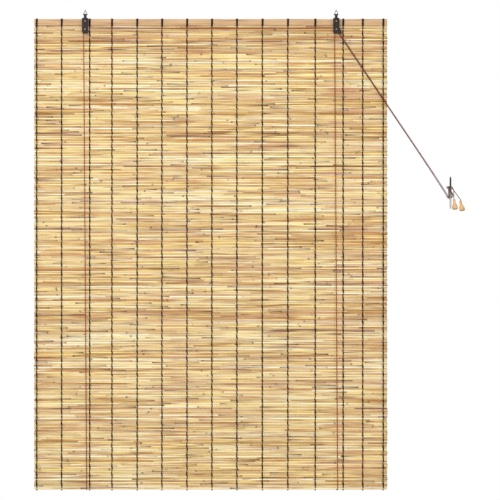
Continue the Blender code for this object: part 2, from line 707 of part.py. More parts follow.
def make_pull_cords():
    """The two cords from the lock to the cleat, their turns round it and their ends in the acorns."""
    start = (LOCK_X + LEFT_CORD_EXIT + CLEARANCE, FRONT_SHEAVE_Y, LOCK_EXIT_Z - CLEARANCE * 1.5)
    route = [start, (0.4750, -0.0125, -0.1342), (0.6090, -0.0100, -0.3337), (0.7400, -0.0080, -0.5282)]
    turns = cleat_turns(0.0078, 0.0170, 0.0051)
    up = acorn_up(ACORN_RIGHT_LEAN)
    tail = [(0.8245, -0.0010, -0.6095), (0.8330, 0.0010, -0.6205), (0.8412, 0.0028, -0.6320)]
    tail += [ACORN_RIGHT_TOP + up * 0.006, ACORN_RIGHT_TOP + up * CLEARANCE * 2]
    tube("pull_cord_left", cord_points(route, turns, tail), PULL_CORD, CORD_LOOK)

    start = (LOCK_X + RIGHT_CORD_EXIT + CLEARANCE, REAR_SHEAVE_Y, LOCK_EXIT_Z - CLEARANCE * 1.5)
    route = [start, (0.4720, -0.0088, -0.1345), (0.6060, -0.0082, -0.3340), (0.7375, -0.0078, -0.5300)]
    turns = cleat_turns(0.0108, 0.0200, 0.0081)
    up = acorn_up(ACORN_LEFT_LEAN)
    tail = [(0.8238, 0.0026, -0.6040), (0.8264, 0.0036, -0.6125), (0.8270, 0.0040, -0.6250)]
    tail += [ACORN_LEFT_TOP + up * 0.006, ACORN_LEFT_TOP + up * CLEARANCE * 2]
    tube("pull_cord_right", cord_points(route, turns, tail), PULL_CORD, CORD_LOOK)


def make_cleat():
    """The wall cleat: a plate, a stem and a bar whose two horns taper and rise."""
    plate_front = WALL_Y - CLEAT_PLATE_THICKNESS
    half, length = CLEAT_PLATE_HALF_WIDTH, CLEAT_PLATE_HALF_LENGTH
    outline = []
    for sign in (1, -1):
        for angle in (0, 45, 90, 135, 180):
            a = math.radians(angle) if sign > 0 else math.radians(angle + 180)
            outline.append((half * math.cos(a), sign * (length - half) + half * math.sin(a)))
    at = (CLEAT_X, 0, CLEAT_Z)
    cleat = place("cleat", prism(outline, along_y, plate_front, WALL_Y), at, CLEAT_LOOK)
    wide, tall = CLEAT_STEM_HALF_WIDTH, CLEAT_STEM_HALF_LENGTH
    stem = box((-wide, CLEAT_BAR_Y, -tall), (wide, plate_front + CLEAT_STEM_ROOT, tall))
    combine(cleat, cutter("join_cleat_stem", stem, at), "UNION")
    bm = bmesh.new()
    rings = []
    for i in range(17):
        share = i / 8 - 1
        reach = abs(share)
        radius = CLEAT_BAR_RADIUS + (CLEAT_TIP_RADIUS - CLEAT_BAR_RADIUS) * reach**1.5
        radius *= math.sqrt(max(0.2, 1 - max(0.0, reach - CLEAT_TIP_STARTS) * 6))
        rise = max(0.0, reach - CLEAT_STEM_HALF_LENGTH / CLEAT_HALF_LENGTH)
        y, z = CLEAT_BAR_Y - CLEAT_TIP_RISE * rise**2, share * CLEAT_HALF_LENGTH
        rings.append([bm.verts.new((u, y + v, z)) for u, v in disc(radius, 10)])
    for a, b in zip(rings, rings[1:]):
        for i in range(10):
            j = (i + 1) % 10
            bm.faces.new((a[i], a[j], b[j], b[i]))
    bm.faces.new(list(reversed(rings[0])))
    bm.faces.new(rings[-1])
    combine(cleat, cutter("join_cleat_bar", bm, at), "UNION")
    for word, sign in (("upper", 1), ("lower", -1)):
        at = (CLEAT_X, 0, CLEAT_Z + sign * CLEAT_SCREW_OFFSET)
        radius, start, end = CLEAT_SCREW_RADIUS + RUNNING, plate_front - CLEARANCE, WALL_Y + CUT_BEYOND
        combine(cleat, hole_along_y(f"cut_cleat_{word}", at, radius, start, end))
        head_back = plate_front - CLEARANCE
        end = WALL_Y + CLEAT_SCREW_LENGTH
        profile = [
            (CLEAT_SCREW_HEAD_RADIUS * 0.7, head_back - CLEAT_SCREW_HEAD_HEIGHT),
            (CLEAT_SCREW_HEAD_RADIUS, head_back - CLEAT_SCREW_HEAD_HEIGHT * 0.4),
            (CLEAT_SCREW_HEAD_RADIUS, head_back),
            (CLEAT_SCREW_RADIUS, head_back),
            (CLEAT_SCREW_RADIUS, end - 0.004),
            (CLEAT_SCREW_RADIUS * 0.2, end),
        ]
        place(f"cleat_screw_{word}", turned(profile, 12), at, BRIGHT_LOOK, smooth=True)


def make_acorn(name, top, lean):
    """A turned acorn pull that hangs from its own top, where its cord's end holds it."""
    shape = [(0.36, 0.0), (0.46, 0.02), (0.46, 0.07), (0.37, 0.13), (0.40, 0.22), (0.60, 0.40)]
    shape += [(0.86, 0.60), (1.0, 0.78), (0.98, 0.88), (0.84, 0.96), (0.62, 1.0)]
    bm = turned([(r * ACORN_RADIUS, h * ACORN_LENGTH) for r, h in shape], 16)
    turn = Matrix.Rotation(-math.pi / 2, 3, "X")
    bmesh.ops.rotate(bm, verts=bm.verts, cent=(0, 0, 0), matrix=turn)
    acorn = place(name, bm, top, ACORN_LOOK, smooth=True)
    acorn.rotation_euler = (0, -lean, 0)


LEFT_BLOCK_X = warp_places()[LEFT_BLOCK_WARP] - LEFT_BLOCK_BESIDE
LOCK_X = warp_places()[RIGHT_BLOCK_WARP] - RIGHT_BLOCK_BESIDE
SIDES = (("left", LEFT_BLOCK_X), ("right", LOCK_X))

for old in list(bpy.data.objects):
    bpy.data.objects.remove(old)

REED_LOOK = material("reed", BAMBOO, 0.55)
PINE_LOOK = material("pine", PINE, 0.6)
HOUSING_LOOK = material("black_steel", BLACK_STEEL, 0.35, 0.9)
NECK_LOOK = material("dark_steel", (0.03, 0.045, 0.035, 1), 0.45, 0.8)
GREY_LOOK = material("grey_steel", GREY_STEEL, 0.35, 1.0)
BRIGHT_LOOK = material("bright_steel", BRIGHT_STEEL, 0.25, 1.0)
CORD_LOOK = material("cord", CORD_BROWN, 0.8)
NYLON_LOOK = material("nylon", NYLON, 0.5)
CLEAT_LOOK = material("cast_metal", GREY_STEEL, 0.4, 1.0)
ACORN_LOOK = material("acorn_wood", ACORN_WOOD, 0.5)
CUTTER_LOOK = material("cutter", (1, 0, 0, 1), 1.0)

hanging = empty("blind_swing_axis", (0, 0, BAIL_BASE_Z))
make_batten(hanging)
bottom_rod_z = make_mat(hanging)
for block_side, block_x in SIDES:
    make_bail(block_side, block_x)
    make_block(block_side, block_x, hanging)
    make_tack(block_side, block_x, hanging)
make_sheave("left_sheave", LEFT_BLOCK_X, SHEAVE_Y, CAVITY_BACK - CAVITY_FRONT - 2 * CLEARANCE, hanging)
make_sheave("right_sheave_front", LOCK_X, FRONT_SHEAVE_Y, SHEAVE_WIDTH, hanging)
make_sheave("right_sheave_rear", LOCK_X, REAR_SHEAVE_Y, SHEAVE_WIDTH, hanging)
make_lock_roller(hanging)
make_cords(hanging, bottom_rod_z)
make_pull_cords()
make_cleat()
make_acorn("acorn_left", ACORN_LEFT_TOP, ACORN_LEFT_LEAN)
make_acorn("acorn_right", ACORN_RIGHT_TOP, ACORN_RIGHT_LEAN)
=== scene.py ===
"""The looks of a reed roll-up blind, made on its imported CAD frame. Metres, +Z up, seen from -Y."""

import json
import math

import bmesh
import bpy
import numpy as np
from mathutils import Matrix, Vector


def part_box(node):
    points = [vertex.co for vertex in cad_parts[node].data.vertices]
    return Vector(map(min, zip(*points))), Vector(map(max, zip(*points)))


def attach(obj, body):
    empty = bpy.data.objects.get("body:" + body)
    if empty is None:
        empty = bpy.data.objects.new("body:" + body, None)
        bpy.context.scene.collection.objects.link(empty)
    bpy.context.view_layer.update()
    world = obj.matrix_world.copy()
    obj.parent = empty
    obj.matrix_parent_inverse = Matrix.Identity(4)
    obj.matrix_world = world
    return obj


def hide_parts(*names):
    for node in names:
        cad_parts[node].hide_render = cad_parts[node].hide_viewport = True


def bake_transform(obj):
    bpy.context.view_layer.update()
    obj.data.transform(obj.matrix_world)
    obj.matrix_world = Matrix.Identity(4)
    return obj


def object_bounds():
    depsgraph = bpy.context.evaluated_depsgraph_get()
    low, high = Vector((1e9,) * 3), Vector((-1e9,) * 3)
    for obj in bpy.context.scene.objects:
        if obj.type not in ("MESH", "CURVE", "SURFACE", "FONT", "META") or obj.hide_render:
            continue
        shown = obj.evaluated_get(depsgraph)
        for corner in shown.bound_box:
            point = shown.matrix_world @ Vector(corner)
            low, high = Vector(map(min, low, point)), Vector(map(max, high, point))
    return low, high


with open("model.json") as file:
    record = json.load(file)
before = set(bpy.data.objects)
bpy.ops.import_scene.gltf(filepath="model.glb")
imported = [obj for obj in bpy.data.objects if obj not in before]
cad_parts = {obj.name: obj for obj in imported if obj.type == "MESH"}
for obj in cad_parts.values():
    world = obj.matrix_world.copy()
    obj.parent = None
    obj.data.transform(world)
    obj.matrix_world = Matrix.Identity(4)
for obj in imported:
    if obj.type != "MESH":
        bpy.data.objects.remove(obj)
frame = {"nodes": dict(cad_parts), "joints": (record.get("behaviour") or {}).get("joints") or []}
cad_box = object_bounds()

# The mat: its pitch, panels and the places of its warps are the CAD's
REED_PITCH = 0.0056
PANEL_COUNT = 24
HEAD_REEDS = 77
WARP_X = (
    -0.5915, -0.5067, -0.4115, -0.3358, -0.2501, -0.1655, -0.0806, 0.0040,
    0.0888, 0.1758, 0.2622, 0.3551, 0.4499, 0.5165, 0.5863,
)
REED_RADIUS = 0.00278
REED_SIDES = 10
REED_RINGS = 30
REED_JOINTS = 6
REED_BOW = 0.00022  # how far a reed bends up and down
CUT_END_TONE = 0.6  # how dark a reed's cut ends are against its side
THREAD_RADIUS = 0.0012
THREAD_SINK = 0.30  # how far a thread's middle stands off the reeds, as a share of its radius
THREAD_FLAT = 2.5  # how much wider a thread lies than it is thick
THREAD_OFFSET = 0.0011  # how far each of its two strands leans aside where they cross
KNOT_SIZE = 0.00068
KNOT_THREAD = 0.0011
KNOT_DROP = 0.0017  # from the bottom rod's underside to a knot's middle

# The batten at the top and the threads that bind it
BATTEN_HALF_Y, BATTEN_HALF_Z = 0.005, 0.011
BATTEN_EASE = 0.0012
BINDING_TURNS = 3
BINDING_STEPS = 30  # points in one turn
BINDING_THREAD = 0.0011
BINDING_PITCH = 0.0021

# The lift cords
CORD_RADIUS = 0.0013
CORD_STAND_OFF = 0.0048  # of a strand's middle from the mat's middle
LIFT_BACK_INSET = 0.0055  # from a sheave to the strand behind the mat, towards the blind's middle
LIFT_BACK_DROP = 0.006  # from the mat's top to where the strand behind it turns to the tack
LIFT_DRIFT = 0.0100  # how far a strand in front wanders to the right on its way down
STRAND_STEP = 0.008
SHEAVE_TURN = 0.0052  # radius of a cord's middle line round a sheave
RISE_DROP = 0.0389  # from the sheaves' middle to where a strand leaves the mat for them
CROSS_SAG = 0.0022
CROSS_FLUFF = 0.45  # how much the stretch from block to block is thickened by lint
LOCK_EXIT_X = {"left": 0.0130, "right": 0.0096}  # how far beside its sheaves a cord leaves the lock
LOCK_EXIT_Z = -0.0800
LOCK_LEAVE = {"left": 24.7, "right": 15.0}  # where each cord leaves its sheave, in degrees

# The pull cords, the cleat and the acorns
PULL_RADIUS = 0.00125
PULL_EXIT_Z = -0.08095
TURN_X, TURN_Z, TURN_SKEW = 0.8125, -0.6120, 0.0060
TURN_START, TURN_END = math.radians(-45), math.radians(198)
CLEAT_BAR_Y = -0.0072
CLEAT_RISE = 0.0050  # how strongly the horns curve away from the wall
CLEAT_STRAIGHT = 0.0095 / 0.0547  # the share of each half of the bar, from the middle, that is straight
ACORN_RADIUS, ACORN_LENGTH = 0.0097, 0.035
ACORN_LEAN = {"left": math.radians(6), "right": math.radians(11)}
ACORN_PROFILE = (  # shares of the radius and of the length, from the top
    (0.38, 0.0), (0.52, 0.006), (0.57, 0.022), (0.57, 0.055), (0.52, 0.085), (0.43, 0.11), (0.38, 0.14),
    (0.365, 0.18), (0.39, 0.22), (0.47, 0.30), (0.59, 0.40), (0.73, 0.50), (0.86, 0.60), (0.95, 0.69),
    (1.0, 0.78), (0.995, 0.85), (0.95, 0.915), (0.84, 0.965), (0.62, 0.995), (0.30, 1.0),
)

# The bails
BAIL_WIRE = 0.0011
BAIL_BEND = 0.0018  # how far from a bail's corner its wire starts to bend

# The camera, square to the blind's front, and what stands round it
CAMERA_AIM = Vector((0.1335, 0.0, -0.8140))
CAMERA_LENS = 200.0
FRAME_WIDTH = 1.700
FLOOR_DROP = 0.16  # from the lowest point of the blind
LAMP_AIM = Vector((0.1, 0, -0.8))

rng = np.random.default_rng(7)


def corners_of(node):
    """A CAD node's lowest and highest corners."""
    low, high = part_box(node)
    return np.array(low), np.array(high)


def middle_of(node):
    low, high = corners_of(node)
    return (low + high) / 2


joints = {joint["name"]: joint for joint in frame["joints"]}
hinge_z = [joints[f"panel_{k:02d}_fold"]["pos_m"][2] for k in range(1, PANEL_COUNT + 1)]
mat_bottom = float(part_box(f"mat_panel_{PANEL_COUNT:02d}")[0][2])
mat_top = hinge_z[0] + HEAD_REEDS * REED_PITCH
reed_count = round((hinge_z[0] - mat_bottom) / REED_PITCH) + HEAD_REEDS
rod_low, rod_high = corners_of("bottom_rod")
rod_z, rod_radius = float(rod_low[2] + rod_high[2]) / 2, float(rod_high[2] - rod_low[2]) / 2
rod_turn = rod_radius + CORD_RADIUS + 0.0002  # radius of a lift cord's middle line under the rod
mat_half = float(rod_high[0])
sheaves = {"left": middle_of("left_sheave"), "right": middle_of("right_sheave_rear")}
front_sheave_y = float(middle_of("right_sheave_front")[1])
sheave_z = float(sheaves["left"][2])
rise_z = sheave_z - RISE_DROP


def srgb(*values):
    """A colour given as 8-bit sRGB numbers, in the linear light that shaders take."""
    out = [v / 255 / 12.92 if v / 255 <= 0.04045 else ((v / 255 + 0.055) / 1.055) ** 2.4 for v in values]
    return (*out, 1.0)


class Look:
    """A material and short ways to add nodes to it."""

    def __init__(self, name, roughness=0.5, metallic=0.0):
        self.material = bpy.data.materials.new(name)
        self.material.use_nodes = True
        self.tree = self.material.node_tree
        self.shader = self.tree.nodes["Principled BSDF"]
        self.shader.inputs["Roughness"].default_value = roughness
        self.shader.inputs["Metallic"].default_value = metallic

    def add(self, kind, inputs=(), **settings):
        node = self.tree.nodes.new(kind)
        for key, value in settings.items():
            setattr(node, key, value)
        for key, value in dict(inputs).items():
            if isinstance(value, bpy.types.NodeSocket):
                self.tree.links.new(value, node.inputs[key])
            else:
                node.inputs[key].default_value = value
        return node

    def attribute(self, name):
        return self.add("ShaderNodeAttribute", attribute_name=name).outputs["Fac"]

    def maths(self, operation, a, b=0.0):
        return self.add("ShaderNodeMath", {0: a, 1: b}, operation=operation).outputs[0]

    def vector(self, x, y, z):
        return self.add("ShaderNodeCombineXYZ", {0: x, 1: y, 2: z}).outputs[0]

    def place(self, scale):
        coords = self.add("ShaderNodeTexCoord").outputs["Object"]
        return self.add("ShaderNodeMapping", {"Vector": coords, "Scale": scale}).outputs[0]

    def noise(self, vector, scale=1.0, detail=3.0, roughness=0.55):
        inputs = {"Vector": vector, "Scale": scale, "Detail": detail, "Roughness": roughness}
        return self.add("ShaderNodeTexNoise", inputs).outputs["Fac"]

    def ramp(self, value, stops, smooth=False):
        node = self.add("ShaderNodeValToRGB", {"Fac": value})
        band = node.color_ramp
        band.interpolation = "EASE" if smooth else "LINEAR"
        while len(band.elements) < len(stops):
            band.elements.new(0.5)
        for element, (at, colour) in zip(band.elements, stops):
            element.position = at
            element.color = colour if isinstance(colour, tuple) else (colour, colour, colour, 1)
        return node.outputs["Color"]

    def mix(self, share, a, b, mode="MIX"):
        node = self.add("ShaderNodeMix", data_type="RGBA", blend_type=mode)
        for key, value in ((0, share), (6, a), (7, b)):
            if isinstance(value, bpy.types.NodeSocket):
                self.tree.links.new(value, node.inputs[key])
            else:
                node.inputs[key].default_value = value
        return node.outputs[2]

    def colour(self, value):
        self.tree.links.new(value, self.shader.inputs["Base Color"])

    def roughness(self, value):
        self.tree.links.new(value, self.shader.inputs["Roughness"])

    def bump(self, height, strength, distance):
        inputs = {"Height": height, "Strength": strength, "Distance": distance}
        node = self.add("ShaderNodeBump", inputs)
        self.tree.links.new(node.outputs[0], self.shader.inputs["Normal"])


def reed_look():
    """Split reed: each length between joints has its own tone, with streaks along it and painted shade
    along the edges where it meets the reeds beside it.
    """
    look = Look("reed", 0.55)
    along, seed, tone = (look.attribute(name) for name in ("along", "seed", "tone"))
    turn, joint, smear = look.attribute("round"), look.attribute("joint"), look.attribute("smear")
    base = look.ramp(
        tone,
        [
            (0.00, srgb(146, 98, 48)),
            (0.16, srgb(188, 140, 78)),
            (0.38, srgb(216, 174, 108)),
            (0.58, srgb(232, 198, 130)),
            (0.80, srgb(247, 221, 154)),
            (1.00, srgb(255, 245, 202)),
        ],
    )

    def drawn_out(scale, spread, depth, detail, roughness=0.55):
        """Noise stretched along the reeds, and different on each."""
        at = look.vector(look.maths("MULTIPLY", along, scale), look.maths("MULTIPLY", seed, spread), depth)
        return look.noise(at, 1.0, detail, roughness)

    tint = drawn_out(3.2, 61.0, 3.0, 2.0)
    base = look.mix(look.ramp(tint, [(0.54, 0.0), (0.66, 0.8)]), base, srgb(212, 150, 102))
    base = look.mix(look.ramp(tint, [(0.32, 0.5), (0.44, 0.0)]), base, srgb(222, 208, 146))
    gold = drawn_out(4.5, 97.0, 8.0, 1.0)
    base = look.mix(look.ramp(gold, [(0.56, 0.0), (0.66, 0.8)]), base, srgb(255, 230, 150))
    streak = drawn_out(6.0, 173.0, turn, 3.0, 0.5)
    base = look.mix(look.ramp(streak, [(0.56, 0.0), (0.64, 0.9)]), base, srgb(156, 98, 50))
    base = look.mix(look.ramp(streak, [(0.32, 0.9), (0.41, 0.0)]), base, srgb(255, 246, 212))
    # Painted shade where each reed meets its neighbours: its upper and lower edges are darkened towards a
    # dark brown, in lengths that noise breaks up.
    from_edge = look.maths("ABSOLUTE", look.maths("COSINE", turn))
    edge = look.ramp(from_edge, [(0.30, 1.0), (0.72, 0.0)])
    gap_shade_patches = look.ramp(drawn_out(4.0, 311.0, 1.0, 3.0, 0.6), [(0.42, 0.45), (0.52, 1.0)])
    base = look.mix(look.mix(1.0, edge, gap_shade_patches, "MULTIPLY"), base, srgb(58, 32, 14))
    core = look.ramp(from_edge, [(0.48, 0.0), (0.95, 1.0)])
    base = look.mix(look.mix(1.0, core, smear, "MULTIPLY"), base, srgb(96, 56, 30))
    fibre = drawn_out(14.0, 61.0, look.maths("MULTIPLY", turn, 9.0), 5.0, 0.7)
    base = look.mix(1.0, base, look.ramp(fibre, [(0.2, 0.80), (0.8, 1.08)]), "MULTIPLY")
    base = look.mix(look.maths("MULTIPLY", joint, 0.9), base, srgb(88, 58, 32))
    look.colour(base)
    look.roughness(look.ramp(fibre, [(0.2, 0.46), (0.8, 0.70)]))
    look.bump(fibre, 0.5, 0.0004)
    look.shader.inputs["Specular IOR Level"].default_value = 0.3
    return look.material


def cord_look(name, pale, dark, worn, turns_per_metre, strands):
    """Braided or twisted cord: two sets of strands cross, and lint softens the gloss."""
    look = Look(name, 0.85)
    along, turn, seed = look.attribute("along"), look.attribute("round"), look.attribute("seed")
    run = look.maths("MULTIPLY", along, turns_per_metre * 2 * math.pi)
    around = look.maths("MULTIPLY", turn, strands)
    one = look.maths("SINE", look.maths("ADD", run, around))
    other = look.maths("SINE", look.maths("SUBTRACT", run, around))
    weave = look.maths("MULTIPLY", one, other)
    fray_at = look.vector(look.maths("MULTIPLY", along, 900.0), look.maths("MULTIPLY", turn, 2.0), seed)
    fray = look.noise(fray_at, 1.0, 4.0, 0.7)
    wear = look.noise(look.vector(look.maths("MULTIPLY", along, 22.0), seed, turn), 1.0, 2.0)
    colour = look.mix(look.ramp(weave, [(0.0, 0.9), (0.45, 0.0)]), pale, dark)
    colour = look.mix(look.ramp(fray, [(0.35, 0.0), (0.75, 0.45)]), colour, dark)
    colour = look.mix(look.ramp(wear, [(0.42, 0.0), (0.70, 0.3)]), colour, worn)
    look.colour(colour)
    look.bump(look.maths("ADD", weave, fray), 0.7, 0.0004)
    look.shader.inputs["Sheen Weight"].default_value = 0.08
    look.shader.inputs["Specular IOR Level"].default_value = 0.2
    look.shader.inputs["Sheen Roughness"].default_value = 0.5
    return look.material


def thread_look():
    """Dark twisted cotton that weaves the reeds together."""
    look = Look("warp_thread", 0.85)
    along, turn, seed = look.attribute("along"), look.attribute("round"), look.attribute("seed")
    ply = look.maths("ADD", look.maths("MULTIPLY", along, 2400.0), look.maths("MULTIPLY", turn, 2.0))
    ply = look.maths("SINE", ply)
    dust = look.noise(look.vector(look.maths("MULTIPLY", along, 160.0), turn, seed), 1.0, 3.0)
    colour = look.mix(look.ramp(ply, [(0.0, 0.0), (1.0, 0.6)]), srgb(18, 10, 9), srgb(38, 24, 19))
    colour = look.mix(look.ramp(dust, [(0.55, 0.0), (0.80, 0.25)]), colour, srgb(84, 64, 44))
    look.colour(colour)
    look.bump(ply, 0.5, 0.0002)
    look.shader.inputs["Sheen Weight"].default_value = 0.05
    look.shader.inputs["Specular IOR Level"].default_value = 0.2
    return look.material


def wood_look(name, pale, mid, dark, scale, roughness=0.55, foot=None):
    """Plain wood: growth bands drawn out along the grain, with pores. Foot paints shade on the lower end.
    """
    look = Look(name, roughness)
    grain = look.noise(look.place(scale), 1.0, 5.0, 0.6)
    fine = look.noise(look.place(tuple(s * 6 for s in scale)), 1.0, 3.0, 0.7)
    colour = look.ramp(grain, [(0.30, dark), (0.48, mid), (0.70, pale)])
    colour = look.mix(1.0, colour, look.ramp(fine, [(0.3, 0.86), (0.7, 1.05)]), "MULTIPLY")
    if foot:
        # Painted shade: the lowest part, found by the foot attribute, is darkened towards the foot colour.
        colour = look.mix(look.ramp(look.attribute("foot"), [(0.84, 0.0), (0.97, 0.85)]), colour, foot)
    look.colour(colour)
    look.roughness(look.ramp(fine, [(0.3, roughness - 0.1), (0.7, roughness + 0.1)]))
    look.bump(fine, 0.3, 0.0004)
    return look.material


def metal_look(name, dark, bright, scale, roughness, worn=(0.58, 0.75), metallic=1.0):
    """Metal or nylon with an uneven finish: blotches where it has worn through, and fine scratches."""
    look = Look(name, roughness, metallic)
    blotch = look.noise(look.place((scale, scale, scale)), 1.0, 5.0, 0.6)
    scratch = look.noise(look.place((scale * 9, scale * 9, scale)), 1.0, 3.0, 0.6)
    look.colour(look.mix(look.ramp(blotch, [(worn[0], 0.0), (worn[1], 1.0)]), dark, bright))
    low, high = max(0.08, roughness - 0.12), roughness + 0.16
    look.roughness(look.ramp(scratch, [(0.35, low), (0.7, high)]))
    look.bump(scratch, 0.15, 0.0003)
    return look.material


def cleat_look(low, high):
    """Cast metal, darker towards the top and paler towards the lower horn."""
    look = Look("cleat_metal", 0.38, 0.9)
    coords = look.add("ShaderNodeTexCoord").outputs["Object"]
    z = look.add("ShaderNodeSeparateXYZ", {0: coords}).outputs[2]
    blotch = look.noise(look.place((140, 140, 140)), 1.0, 5.0, 0.6)
    height = look.maths("DIVIDE", look.maths("SUBTRACT", z, low), high - low)
    height = look.maths("ADD", height, look.maths("MULTIPLY", look.maths("SUBTRACT", blotch, 0.5), 0.5))
    stops = [(0.25, srgb(176, 172, 166)), (0.50, srgb(104, 100, 98)), (0.75, srgb(62, 58, 58))]
    look.colour(look.ramp(height, stops))
    look.roughness(look.ramp(blotch, [(0.35, 0.28), (0.7, 0.52)]))
    look.bump(blotch, 0.25, 0.0004)
    return look.material


class Shape:
    """Collects points, faces and per-point values, and turns them into one mesh object."""

    def __init__(self):
        self.points, self.faces, self.values, self.count = [], {3: [], 4: []}, {}, 0

    def add(self, points, quads, triangles=None, **values):
        points = np.asarray(points, float).reshape(-1, 3)
        self.points.append(points)
        self.faces[4].append(np.asarray(quads, int).reshape(-1, 4) + self.count)
        if triangles is not None:
            self.faces[3].append(np.asarray(triangles, int).reshape(-1, 3) + self.count)
        for name, value in values.items():
            value = np.broadcast_to(np.asarray(value, float).reshape(-1), (len(points),))
            self.values.setdefault(name, []).append(value)
        self.count += len(points)

    def make(self, name, material, auto_sharp=None):
        points = np.concatenate(self.points)
        quads = np.concatenate(self.faces[4])
        triangles = np.concatenate(self.faces[3]) if self.faces[3] else np.zeros((0, 3), int)
        mesh = bpy.data.meshes.new(name)
        mesh.vertices.add(len(points))
        mesh.vertices.foreach_set("co", points.astype(np.float32).ravel())
        corners = np.concatenate([quads.ravel(), triangles.ravel()])
        mesh.loops.add(len(corners))
        mesh.loops.foreach_set("vertex_index", corners.astype(np.int32))
        quad_starts = np.arange(len(quads)) * 4
        triangle_starts = len(quads) * 4 + np.arange(len(triangles)) * 3
        starts = np.concatenate([quad_starts, triangle_starts])
        mesh.polygons.add(len(starts))
        mesh.polygons.foreach_set("loop_start", starts.astype(np.int32))
        mesh.update(calc_edges=True)
        mesh.validate()
        mesh.shade_smooth()
        if auto_sharp:
            mesh.set_sharp_from_angle(angle=math.radians(auto_sharp))
        for key, parts in self.values.items():
            attribute = mesh.attributes.new(key, "FLOAT", "POINT")
            attribute.data.foreach_set("value", np.concatenate(parts).astype(np.float32))
        mesh.materials.append(material)
        obj = bpy.data.objects.new(name, mesh)
        bpy.context.collection.objects.link(obj)
        return obj


def rings_to_faces(rings, sides, closed=False):
    """Quads between rings of points that follow one another, and fans over the ends unless closed."""
    last = rings if closed else rings - 1
    i, j = np.meshgrid(np.arange(last), np.arange(sides), indexing="ij")
    ahead, beside = (i + 1) % rings, (j + 1) % sides
    here, there = i * sides, ahead * sides
    quads = np.stack([here + j, here + beside, there + beside, there + j], -1)
    if closed:
        return quads.reshape(-1, 4), None
    j = np.arange(sides)
    first = np.stack([(j + 1) % sides, j, np.full(sides, rings * sides)], -1)
    end = (rings - 1) * sides
    second = np.stack([end + j, end + (j + 1) % sides, np.full(sides, rings * sides + 1)], -1)
    return quads.reshape(-1, 4), np.concatenate([first, second])


def frames_along(path, closed=False):
    """Two directions square to a path at each point, carried along it without twist."""
    path = np.asarray(path, float)
    if closed:
        ahead = np.roll(path, -1, 0) - np.roll(path, 1, 0)
    else:
        ahead = np.gradient(path, axis=0)
    ahead /= np.linalg.norm(ahead, axis=1)[:, None]
    side = np.zeros_like(ahead)
    guess = np.array([0.0, 1.0, 0.0]) if abs(ahead[0][1]) < 0.9 else np.array([1.0, 0.0, 0.0])
    for i, direction in enumerate(ahead):
        guess = guess - direction * (guess @ direction)
        guess /= np.linalg.norm(guess)
        side[i] = guess
    return side, np.cross(ahead, side)


def domed(path, radius, side, up, along):
    """Adds rings to both ends of a tube that step out and shrink."""
    first, last = path[0] - path[1], path[-1] - path[-2]
    first, last = first / np.linalg.norm(first), last / np.linalg.norm(last)
    reach, size = np.array([0.60, 0.35]), np.array([0.70, 0.92])
    start = path[0] + np.outer(reach * radius[0], first)
    end = path[-1] + np.outer(reach[::-1] * radius[-1], last)
    path = np.vstack([start, path, end])
    radius = np.concatenate([size * radius[0], radius, size[::-1] * radius[-1]])
    side, up = (np.pad(value, ((2, 2), (0, 0)), "edge") for value in (side, up))
    return path, radius, side, up, np.pad(along, 2, "edge")


def add_tube(shape, path, radius, sides=12, closed=False, seed=0.0, round_ends=True, flat=1.0):
    """A tube along a path, domed a little at its open ends. Flat widens it across the way it faces."""
    path = np.asarray(path, float)
    side, up = frames_along(path, closed)
    radius = np.broadcast_to(np.asarray(radius, float), (len(path),))
    step = np.linalg.norm(np.diff(path, axis=0), axis=1)
    along = np.concatenate([[0], np.cumsum(step)])
    if round_ends and not closed:
        path, radius, side, up, along = domed(path, radius, side, up, along)
    turn = np.arange(sides) * 2 * math.pi / sides
    across = up[:, None] * np.sin(turn)[None, :, None] * flat
    ring = side[:, None] * np.cos(turn)[None, :, None] + across
    points = (path[:, None] + ring * radius[:, None, None]).reshape(-1, 3)
    quads, triangles = rings_to_faces(len(path), sides, closed)
    along, turn = np.repeat(along, sides), np.tile(turn, len(path))
    if not closed:
        points = np.vstack([points, path[0], path[-1]])
        along, turn = np.append(along, [along[0], along[-1]]), np.append(turn, [0, 0])
    shape.add(points, quads, triangles, along=along, round=turn, seed=seed)


def turned(profile, sides):
    """A profile of (radius, height) points turned round its axis. Foot runs from 0 to 1 down it."""
    shape = Shape()
    turn = np.arange(sides) * 2 * math.pi / sides
    top, bottom = profile[0][1], profile[-1][1]
    rings = []
    for radius, height in profile:
        rings.append(np.stack([radius * np.cos(turn), radius * np.sin(turn), np.full(sides, height)], 1))
    points = np.vstack(rings + [[[0, 0, top], [0, 0, bottom]]])
    quads, triangles = rings_to_faces(len(profile), sides)
    foot = points[:, 2] / bottom
    shape.add(points, quads[:, ::-1], triangles[:, ::-1], foot=foot)
    return shape


def smooth_route(points, step):
    """Points on a centripetal Catmull-Rom curve through the route's own points."""
    route = [np.array(point, float) for point in points]
    route = [2 * route[0] - route[1]] + route + [2 * route[-1] - route[-2]]
    found = []
    for a, b, c, d in zip(route, route[1:], route[2:], route[3:]):
        t0 = 0.0
        t1 = t0 + math.sqrt(np.linalg.norm(b - a))
        t2 = t1 + math.sqrt(np.linalg.norm(c - b))
        t3 = t2 + math.sqrt(np.linalg.norm(d - c))
        count = max(1, math.ceil(np.linalg.norm(c - b) / step))
        for t in t1 + (t2 - t1) * np.arange(count) / count:
            ab, bc, cd = mixed(a, b, t, t0, t1), mixed(b, c, t, t1, t2), mixed(c, d, t, t2, t3)
            found.append(mixed(mixed(ab, bc, t, t0, t2), mixed(bc, cd, t, t1, t3), t, t1, t2))
    return np.array(found + [route[-2]])


def mixed(p, q, t, low, high):
    """The point between p, at low, and q, at high, that belongs to t."""
    return p * ((high - t) / (high - low)) + q * ((t - low) / (high - low))


def arc(centre, radius, start, end, count):
    """Points round a centre in the front view, from start to end degrees."""
    angles = np.radians(np.linspace(start, end, count + 1))
    return [np.array(centre) + radius * np.array([math.cos(a), 0, math.sin(a)]) for a in angles]


